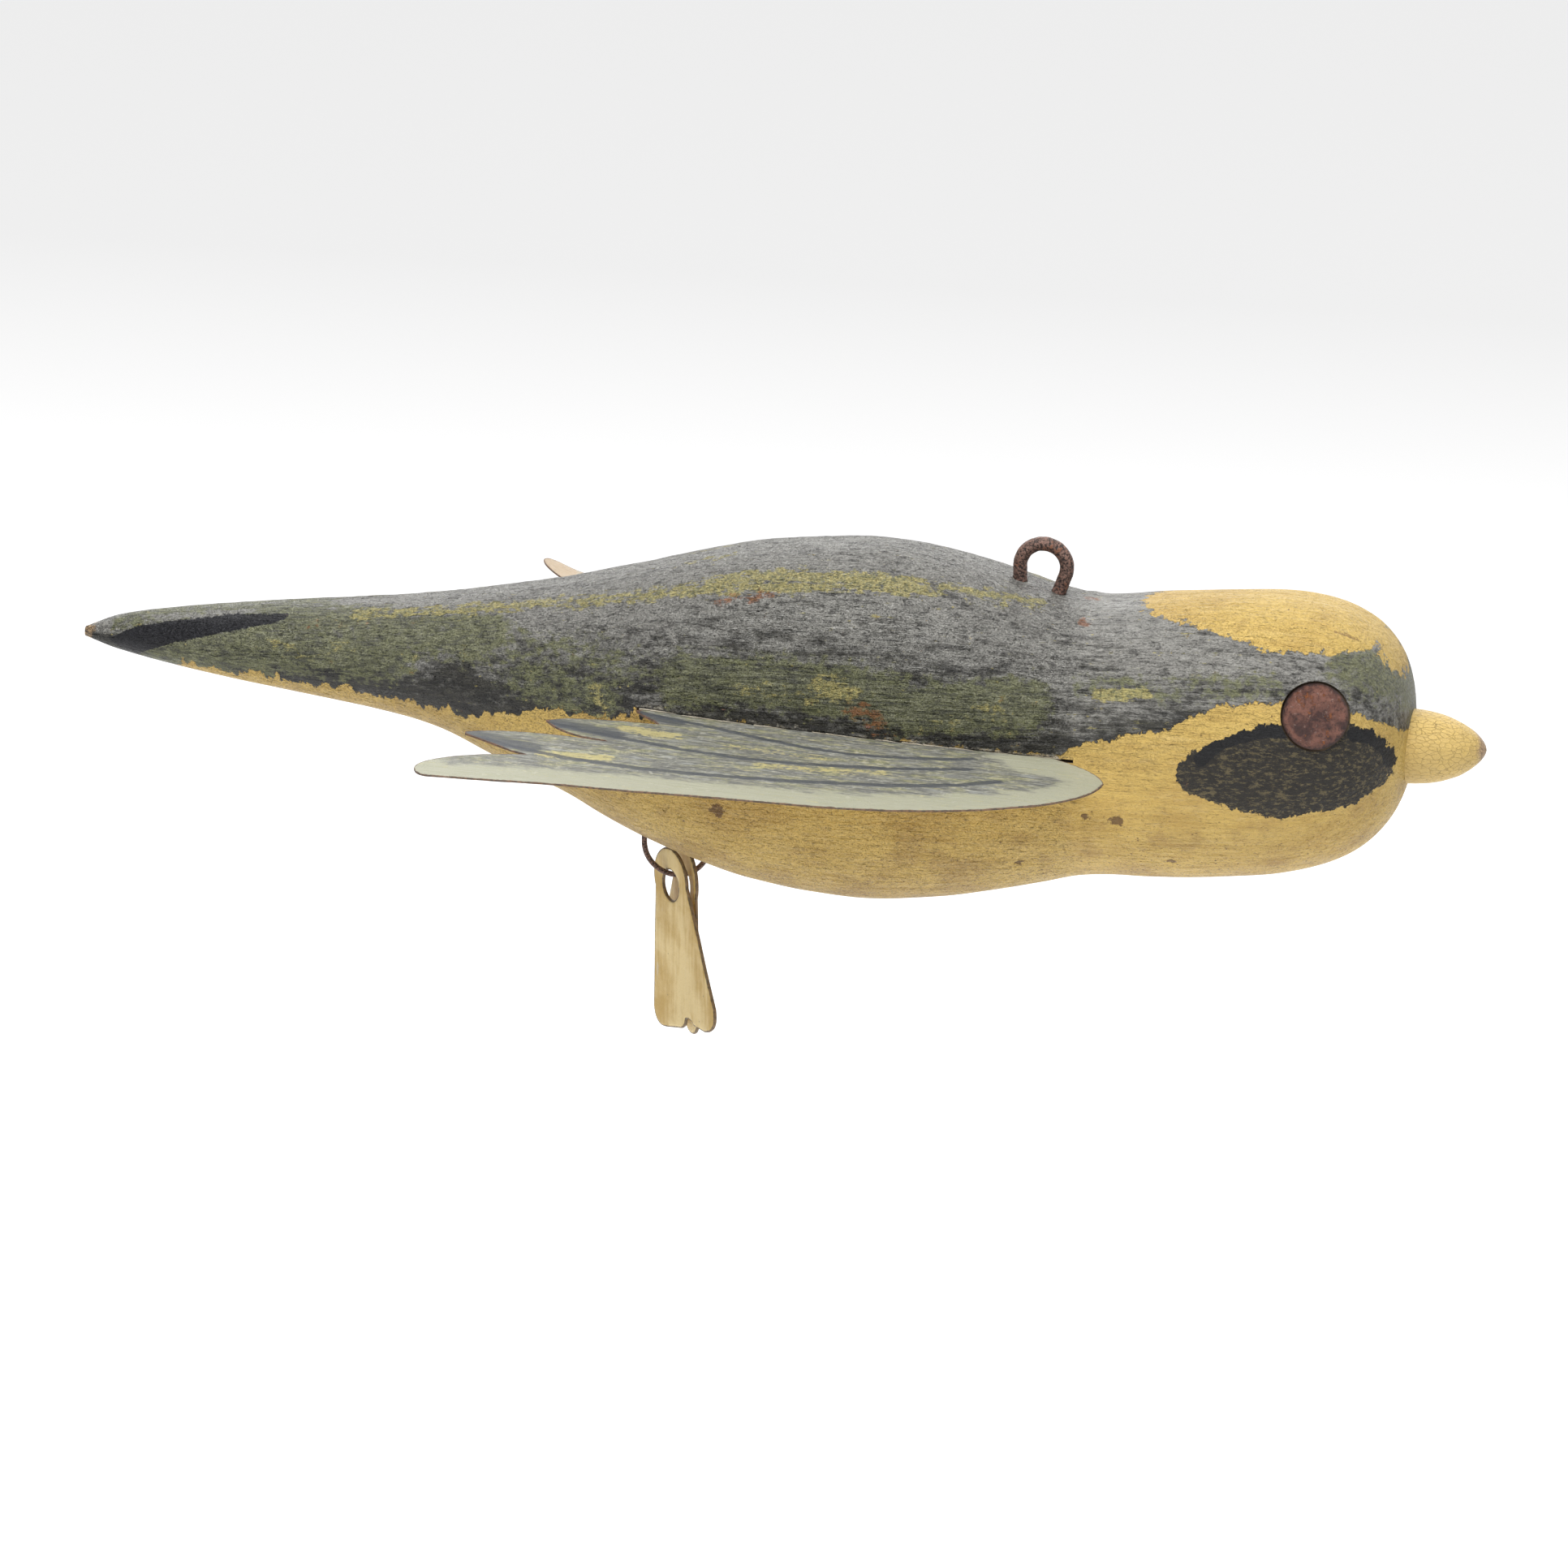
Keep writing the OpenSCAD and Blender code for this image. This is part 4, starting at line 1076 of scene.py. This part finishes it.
        # painted sheen mask: rises with height on the section and towards the tail
        write_attribute(mesh, "sheen",
                        np.clip((z - centre) / half * 1.15 + 0.05 + 0.30 * np.clip((-110 - x) / 70, 0, 1),
                                0, 1))
        write_attribute(mesh, "pebble",
                        np.clip((13 - x) / 4, 0.25, 1) * np.clip((z - centre) / half * 2 + 0.7, 0.35, 1))
        spots = np.zeros(len(rows))
        for (dx, dz), _, wide in DINGS:
            spot = np.array([dx, -float(block.side(dx, dz)), dz])
            spots = np.maximum(spots, np.clip(1.3 - np.linalg.norm(rows - spot, axis=1) / wide, 0, 1))
        write_attribute(mesh, "ding", spots)
        plane = wing_plane(tin, block, LEFT).inverted()
        flat = np.array([tuple(plane @ Vector(p)) for p in flank])
        rear, front = -tin.wing_back + 45, tin.wing_front - 14
        beyond = np.maximum(np.maximum(rear - flat[:, 0], flat[:, 0] - front), 0)
        write_attribute(mesh, "kerf", np.hypot(np.abs(flat[:, 2]) - tin.wing_thickness / 2, beyond))

    def execute(self, context):
        scene = context.scene
        sizes, block = scene.decoy_carving, Block(scene.decoy_carving)
        paint = finish_of("painted_wood", painted_wood, scene.decoy_paint)
        inner = finish_of("cut_wood", raw_wood)
        points, faces = self.loft(sizes, block)
        points = self.knife_work(points, sizes, block)
        body = new_piece("carved_body", points, faces, [paint, inner], "carving", ["body"])
        cutter = self.cutters(scene, block, inner)
        saw = body.modifiers.new("saw_and_drill", "BOOLEAN")
        saw.operation, saw.solver, saw.object = "DIFFERENCE", "EXACT", cutter
        saw.material_mode = "TRANSFER"
        graph = context.evaluated_depsgraph_get()
        carved = bpy.data.meshes.new_from_object(body.evaluated_get(graph))
        body.modifiers.clear()
        body.data = carved
        bpy.data.objects.remove(cutter)
        if len(carved.vertices) < 1000:
            raise RuntimeError("the cuts in the carved body failed")
        carved.shade_smooth()
        carved.set_sharp_from_angle(angle=math.radians(38))
        self.paint_marks(carved, block, scene.decoy_tin)
        return {"FINISHED"}


class BuildBeak(bpy.types.Operator):
    """Turns the beak, with its flats and its worn tip"""
    bl_idname = "decoy.build_beak"
    bl_label = "Beak"

    def execute(self, context):
        block = Block(context.scene.decoy_carving)
        paint = finish_of("beak_paint", beak_paint, context.scene.decoy_paint)
        low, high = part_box("beak")
        tip, radius = high.x / MM, (high.y - low.y) / 2 / MM
        axis_z = (high.z + low.z) / 2 / MM
        root = block.head_x - 2
        profile = [(0, -2.0), (radius * 0.98, -2.0)]
        profile += [(radius * (1 - t**2.2) ** (1 / 1.6),
                     t * (tip - root)) for t in [math.sin(math.radians(90 * i / 44)) for i in range(44)]]
        profile.append((0, tip - root))
        points, faces = lathe(profile, 96)
        carry = Matrix.Translation((root, 0, axis_z)) @ Matrix.Rotation(math.radians(90), 4, "Y")
        placed = []
        for p in points:
            spot = carry @ Vector(p)
            out = Vector((0, spot.y, spot.z - axis_z))
            share = min(1, out.length / 3)
            if out.length > 0.01:
                spot += out.normalized() * share * (0.22 * ripple(spot, 7, 5) + 0.07 * ripple(spot, 2.2, 8))
            placed.append(spot)
        beak = new_piece("beak_turned", placed, faces, [paint], "carving", ["beak"])
        rows = vertex_rows(beak.data)
        write_attribute(beak.data, "tip", np.clip((rows[:, 0] - root) / (tip - root), 0, 1))
        write_attribute(beak.data, "root",
                        np.clip((root + 4.5 - rows[:, 0]) / 4, 0,
                                1) * np.clip((rows[:, 2] - axis_z - 3) / 4, 0, 1))
        return {"FINISHED"}


def wing_outline(tin, flank):
    reach, back, front = tin.wing_reach, tin.wing_back, tin.wing_front
    root_y = flank - tin.wing_seat
    rear_x, front_x = -back + 49, front - 14.5

    def along(x, y):
        return (x - back, y)

    line = [(rear_x + 6, root_y), (front_x - 6, root_y)]
    line += arc_points((front_x, flank - 1.5), (front - 2, flank + 4), (front, flank + 11.5), 10)
    line += arc_points((front, flank + 11.5), (front - 1, reach - 33), (front - 18, reach - 23.5), 14)
    line += arc_points((front - 18, reach - 23.5), (front - 35, reach - 12.5), (-40, reach - 9), 16)
    line += arc_points((-40, reach - 9), (-90, reach - 5.5), along(4, reach), 24)
    line += arc_points(along(4, reach), along(0.2, reach), along(0, reach - 5), 10)
    line += arc_points(along(0, reach - 5), along(1, reach - 13), along(19, reach - 19.5), 14)
    line += [along(24.6, reach - 21.4)]
    line += arc_points(along(21, reach - 22.4), along(14, reach - 26.5), along(7.6, reach - 30.2), 8)
    line += arc_points(along(7.4, reach - 31.6), along(18, reach - 38), along(41.6, reach - 35.6), 14)
    line += arc_points(along(41.4, reach - 36.2), along(30, reach - 36.8), along(24.8, flank + 11.6), 10)
    line += arc_points(along(29, flank + 9), along(38, flank + 6.4), along(51.8, flank + 6), 10)
    line += arc_points(along(50, flank + 3.5), along(46.5, flank + 1), along(44.8, flank - 1.7), 6)
    line += [along(48, flank - 3.5)]
    return line


# Feather lines and chips on the wing, in its own flat: along the bird, and out from its middle plane.
FEATHER_LINES = [
    (1.15, [(-99, 30), (-96.7, 32.1), (-85, 34.8), (-74.4, 37.5), (-62, 41), (-52.1, 43.5), (-40, 44.5),
            (-30.8, 43.4), (-18, 40.8), (-10.4, 37.9)]),
    (1.20, [(-122, 43), (-117.6, 45.9), (-98, 51), (-78.6, 54.4), (-64, 55.4), (-50.1, 54.9), (-30, 51.5),
            (-10.3, 45.4)]),
    (1.35, [(-134.4, 60.0), (-122, 64.5), (-106.6, 68.2), (-90, 70), (-75.9, 69.7), (-48.0, 66.3),
            (-27.4, 62.4), (-12, 57), (-2.1, 51.3)]),
]
CHIPS = [
    (2.2, 0.9, [(-112, 67.5), (-97, 65.5)]),
    (2.6, 0.8, [(-96, 44.6), (-84, 46.2)]),
    (2.0, 0.7, [(-60, 59), (-30, 55)]),
    (1.8, 0.6, [(-70, 48.5), (-45, 49.5)]),
]
DARK_TIPS = [
    (3.2, 0.95, [(-132, 60), (-116, 64)]),
    (3.2, 0.90, [(-114, 46), (-98, 49.5)]),
    (2.2, 0.80, [(-97, 33), (-84, 37)]),
]


class BuildWings(bpy.types.Operator):
    """Cuts the two tin wings, paints their feathers and bends one tip"""
    bl_idname = "decoy.build_wings"
    bl_label = "Wings"

    def weight(self, flat, strokes):
        value = np.zeros(len(flat))
        for half_width, strength, line in strokes:
            value = np.maximum(value, strength * np.clip(1.3 - 0.7 * segment_distance(flat,
                    line) / half_width, 0, 1))
        return value

    def execute(self, context):
        scene = context.scene
        tin, block = scene.decoy_tin, Block(scene.decoy_carving)
        paint = finish_of("wing_paint", wing_paint, scene.decoy_paint)
        outline = tidy_outline(wing_outline(tin, block.breadth / 2), 1.1)
        flat, triangles = cut_sheet(outline, None, 1.5)
        points, faces, place = sheet_metal(flat, triangles, tin.wing_thickness)
        out = np.clip((place[:, 1] - block.breadth / 2) / (tin.wing_reach - block.breadth / 2), 0, 1)
        for side, node in ((RIGHT, "right_wing"), (LEFT, "left_wing")):
            carry = wing_plane(tin, block, side)
            placed = []
            for p, o in zip(points, out):
                tip = min(1.0, max(0.0, (-p[0] - 124) / 16.6))
                lift = tin.left_sag * (tip * tip - max(0.0, p[1] - 33) / 57) if side == LEFT else 0.0
                lift += o * (0.28 * ripple((p[0] * 0.6, p[1], side * 40), 16,
                                           2) + 0.08 * ripple((p[0], p[1], side * 40), 5, 4))
                placed.append(carry @ Vector((p[0], p[1], p[2] + lift)))
            wing = new_piece(node + "_tin", placed, mirrored_faces(faces, side), [paint], "carving",
                             [node], 60)
            ring = outline + [outline[0]]
            write_attribute(wing.data, "edge", segment_distance(place, ring))
            write_attribute(wing.data, "underside",
                            np.concatenate([np.zeros(len(flat)), np.ones(len(flat)),
                                            np.zeros(len(place) - 2 * len(flat))]))
            lines = np.full(len(place), 9.0)
            for half_width, line in FEATHER_LINES:
                lines = np.minimum(lines, segment_distance(place, line) / half_width)
            write_attribute(wing.data, "feather", lines)
            brim = [(2, 33), (20, 39), (22.4, 44.5), (20, 56), (4.4, 66.5), (-17, 76), (-40, 81),
                    (-90, 84.5), (-136.6, 89.5), (-140, 86)]
            write_attribute(wing.data, "outer", np.clip(1.12 - segment_distance(place, brim) / 15, 0, 1))
            write_attribute(wing.data, "bare_tip",
                            np.clip((-120 - place[:, 0]) / 16, 0, 1) * np.clip((place[:, 1] - 72) / 6, 0,
                                    1) * (side == LEFT))
            write_attribute(wing.data, "chip", self.weight(place, CHIPS))
            write_attribute(wing.data, "tipdark", self.weight(place, DARK_TIPS))
        return {"FINISHED"}


class BuildEyes(bpy.types.Operator):
    """Forges the two domed tack heads that are the eyes"""
    bl_idname = "decoy.build_eyes"
    bl_label = "Eyes"

    def execute(self, context):
        scene = context.scene
        eye, block = scene.decoy_eye, Block(scene.decoy_carving)
        rust = finish_of("eye_rust", eye_rust, scene.decoy_paint)
        radius, rim = eye.across / 2, 1.0
        dome = (radius**2 + eye.dome**2) / (2 * eye.dome)
        spread = math.asin(radius / dome)
        profile = [(0, -15), (1.4, -15), (1.4, 0), (radius - 0.35, 0), (radius - 0.1, 0.15), (radius, 0.45),
                   (radius, rim - 0.1)]
        for i in range(1, 30):
            a = spread * (1 - i / 30)
            profile.append((dome * math.sin(a), rim + eye.dome - dome + dome * math.cos(a)))
        profile.append((0, rim + eye.dome))
        points, faces = lathe(profile, 112)
        for side, node in ((RIGHT, "right_eye_tack"), (LEFT, "left_eye_tack")):
            carry = cheek_plane(eye, block, side)
            placed, rims = [], []
            for p in points:
                away = math.hypot(p[0], p[1])
                lift = 0.0
                if p[2] > 0.4:
                    lift = 0.10 * ripple((p[0], p[1], side * 30), 3.1,
                                         6) + 0.07 * ripple((p[0], p[1], side * 30), 1.1, 12)
                placed.append(carry @ Vector((p[0], p[1], p[2] + lift)))
                rims.append(away / radius if p[2] > -0.5 else 1)
            tack = new_piece(node + "_forged", placed, mirrored_faces(faces, side), [rust], "carving",
                             [node])
            write_attribute(tack.data, "rim", rims)
        return {"FINISHED"}


class BuildWires(bpy.types.Operator):
    """Bends the line staple on the back and the belly wire that the feet hang on"""
    bl_idname = "decoy.build_wires"
    bl_label = "Staple and belly wire"

    def execute(self, context):
        scene = context.scene
        wire, block = scene.decoy_wire, Block(scene.decoy_carving)
        crown = Vector((0, 0, wire.loop_wire / 2 - wire.loop_bend))
        path = bent_path(crown, wire.loop_bend, -20, 180, 17, 0.3)
        points, faces = swept_wire(path, wire.loop_wire / 2, 36, 4, 0.05)
        iron = finish_of("staple_iron", browned_iron, "staple_iron", scene.decoy_paint, 0.35, 1.0)
        new_piece("line_staple_bent", points, faces, [iron], "carving", ["line_staple"])
        path = bent_path(ring_centre(wire, block), wire.belly_bend, 180, 332, 12, 0.2)
        points, faces = swept_wire(path, wire.belly_wire / 2, 24, 15, 0.04)
        iron = finish_of("wire_iron", browned_iron, "wire_iron", scene.decoy_paint, 0.2, 1.6)
        new_piece("foot_wire_bent", points, faces, [iron], "carving", ["foot_wire"])
        return {"FINISHED"}


def foot_outline(length):
    top_r, rise, toe, hole = 8.0, 1.4, 15.3, 4.0
    bottom = rise + top_r - length
    flare = math.atan((toe - top_r) / (length - top_r - 5))
    line = []
    for i in range(41):
        a = -flare + (math.pi + 2 * flare) * i / 40
        line.append((top_r * math.cos(a), rise + top_r * math.sin(a)))
    line += arc_points((-toe, bottom + 5), (-toe, bottom), (-toe + 5, bottom), 10)
    line += arc_points((-2.6, bottom + 0.2), (-0.6, bottom + 0.4), (0, bottom + 2), 6)
    line += arc_points((0.4, bottom + 2.6), (2.6, bottom + 3.4), (4.2, bottom + 1.2), 8)
    line += arc_points((toe - 6, bottom), (toe, bottom), (toe, bottom + 6), 10)
    return line, hole


class BuildFeet(bpy.types.Operator):
    """Snips the two tin feet and hangs them on the belly wire"""
    bl_idname = "decoy.build_feet"
    bl_label = "Feet"

    def execute(self, context):
        scene = context.scene
        tin, wire, block = scene.decoy_tin, scene.decoy_wire, Block(scene.decoy_carving)
        paint = finish_of("foot_paint", foot_paint, scene.decoy_paint)
        outline, hole_r = foot_outline(tin.foot_length)
        outline = tidy_outline(outline, 0.9)
        hole = [(hole_r * math.cos(2 * math.pi * i / 56),
                 hole_r * math.sin(2 * math.pi * i / 56)) for i in range(56)]
        flat, triangles = cut_sheet(outline, hole, 1.1)
        points, faces, place = sheet_metal(flat, triangles, tin.foot_thickness)
        ring = ring_centre(wire, block)
        edge = np.minimum(segment_distance(place, outline + [outline[0]]),
                          segment_distance(place, hole + [hole[0]]))
        for i, (node, yaw, lean) in enumerate((("right_foot", 50, 12), ("left_foot", 60, -10.6))):
            x = ring.x - 1.5 + 4 * i
            z = ring.z - math.sqrt(wire.belly_bend**2 - (x - ring.x) ** 2)
            carry = (Matrix.Translation((x, 0, z)) @ Matrix.Rotation(math.radians(-yaw), 4, "Z")
                     @ Matrix.Rotation(math.radians(-lean), 4, "Y")
                     @ Matrix.Translation((0, 0, wire.belly_wire / 2 + 0.5
                                           - hole_r)) @ Matrix.Rotation(math.radians(90), 4, "X"))
            placed = [carry @ Vector((p[0], p[1], p[2] + 0.12 * ripple((p[0], p[1], i * 50), 14, 3) * min(1,
                    max(0, -p[1] / 12)))) for p in points]
            foot = new_piece(node + "_tin", placed, faces, [paint], node, [node], 60)
            write_attribute(foot.data, "edge", edge)
        return {"FINISHED"}


class FinishBrads(bpy.types.Operator):
    """Gives the buried brads that hold the wings their browned iron"""
    bl_idname = "decoy.finish_brads"
    bl_label = "Brads"

    def execute(self, context):
        iron = finish_of("brad_iron", browned_iron, "brad_iron", context.scene.decoy_paint, 0.5, 2.0)
        for node in ("right_rear_brad", "right_front_brad", "left_rear_brad", "left_front_brad"):
            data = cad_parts[node].data
            data.materials.clear()
            data.materials.append(iron)
        return {"FINISHED"}


class BuildSplinters(bpy.types.Operator):
    """Lifts the torn wood fibres along the saw kerfs"""
    bl_idname = "decoy.build_splinters"
    bl_label = "Torn fibres"

    def execute(self, context):
        scene = context.scene
        tin, block = scene.decoy_tin, Block(scene.decoy_carving)
        fibre = finish_of("torn_fibre", fibre_finish)
        dice = np.random.default_rng(11)
        for side, name in ((RIGHT, "right_kerf_fibres"), (LEFT, "left_kerf_fibres")):
            carry = wing_plane(tin, block, side)
            points, faces = [], []
            for start, stop, count in ((-92, -70, 9), (-34, 8, 15), (-66, -40, 5)):
                for x in dice.uniform(start, stop, count):
                    base = float(block.side(x, float(block.centre(x)) + 5)) - 0.5
                    length, thick = dice.uniform(2.5, 9.0), dice.uniform(0.14, 0.34)
                    curl, rise = dice.uniform(0.1, 0.9), tin.wing_thickness / 2 + 0.08
                    first = len(points)
                    for i in range(7):
                        t = i / 6
                        w = thick * (1 - 0.85 * t)
                        middle = Vector((x + length * (t - 0.5), base + 0.55 + curl * t * t,
                                         rise + 0.25 * t * t * curl))
                        points += [carry @ (middle + Vector((0, w * math.cos(a),
                                                             w * math.sin(a)))) for a in (0.5, 2.6, 4.7)]
                    for i in range(6):
                        for j in range(3):
                            a, b = first + 3 * i + j, first + 3 * i + (j + 1) % 3
                            faces.append((a, b, b + 3, a + 3))
                    faces.append((first, first + 2, first + 1))
                    faces.append((first + 18, first + 19, first + 20))
            new_piece(name, points, mirrored_faces(faces, RIGHT if side == LEFT else LEFT), [fibre],
                      "carving")
        return {"FINISHED"}


class BuildStudio(bpy.types.Operator):
    """Lays the pale floor, hangs the soft lights and sets the camera"""
    bl_idname = "decoy.build_studio"
    bl_label = "Studio"

    def light(self, name, place, aim, sides, power):
        lamp = bpy.data.lights.new(name, "AREA")
        lamp.shape, lamp.energy = "RECTANGLE", power
        lamp.size, lamp.size_y = sides
        holder = bpy.data.objects.new(name, lamp)
        holder.location = place
        holder.rotation_euler = (Vector(aim) - Vector(place)).to_track_quat("-Z", "Y").to_euler()
        bpy.context.scene.collection.objects.link(holder)

    def execute(self, context):
        scene = context.scene
        studio = scene.decoy_studio
        aim = Vector(studio.aim)
        net = bmesh.new()
        bmesh.ops.create_grid(net, x_segments=24, y_segments=24, size=14)
        mesh = bpy.data.meshes.new("studio_floor")
        net.to_mesh(mesh)
        net.free()
        mesh.materials.append(finish_of("studio_floor", floor_finish))
        floor = bpy.data.objects.new("studio_floor", mesh)
        floor.location.z = -studio.floor_drop
        scene.collection.objects.link(floor)
        world = bpy.data.worlds.new("studio_air")
        world.use_nodes = True
        sky = world.node_tree.nodes["Background"]
        sky.inputs["Color"].default_value = (1, 1, 1, 1)
        sky.inputs["Strength"].default_value = 0.47
        scene.world = world
        self.light("key_light", (-0.15, -0.85, 1.35), aim, (1.0, 0.42), 18)
        self.light("fill_light", (1.5, -1.5, 0.4), aim, (1.2, 1.2), 7)
        self.light("top_light", (-0.1, -0.05, 1.6), aim, (1.9, 1.3), 21)
        self.light("back_light", (0.0, 2.4, 0.95), aim, (3.4, 2.0), 44)
        lens = bpy.data.cameras.new("camera")
        lens.sensor_width = 36
        lens.lens = lens.sensor_width * studio.distance / studio.frame_width
        lens.clip_start, lens.clip_end = 0.1, 100
        camera = bpy.data.objects.new("camera", lens)
        flat = math.cos(studio.elevation)
        back = Vector((math.sin(studio.azimuth) * flat, -math.cos(studio.azimuth) * flat,
                       math.sin(studio.elevation)))
        camera.location = aim + back * studio.distance
        camera.rotation_euler = (-back).to_track_quat("-Z", "Y").to_euler()
        scene.collection.objects.link(camera)
        scene.camera = camera
        scene.view_settings.view_transform = "Standard"
        return {"FINISHED"}


STEPS = (BuildCarving, BuildBeak, BuildWings, BuildEyes, BuildWires, BuildFeet, FinishBrads, BuildSplinters,
         BuildStudio)


class DecoyPanel(bpy.types.Panel):
    """Buttons that build each part of the decoy"""
    bl_idname = "VIEW3D_PT_decoy"
    bl_label = "Bird decoy"
    bl_space_type = "VIEW_3D"
    bl_region_type = "UI"
    bl_category = "Decoy"

    def draw(self, context):
        for step in STEPS:
            self.layout.operator(step.bl_idname)


def register():
    for kind in (*SETTINGS.values(), *STEPS, DecoyPanel):
        bpy.utils.register_class(kind)
    for name, kind in SETTINGS.items():
        setattr(bpy.types.Scene, name, PointerProperty(type=kind))


def unregister():
    for name in SETTINGS:
        delattr(bpy.types.Scene, name)
    for kind in reversed((*SETTINGS.values(), *STEPS, DecoyPanel)):
        bpy.utils.unregister_class(kind)


def main():
    register()
    for step in STEPS:
        group, name = step.bl_idname.split(".")
        getattr(getattr(bpy.ops, group), name)()


if __name__ == "__main__":
    main()
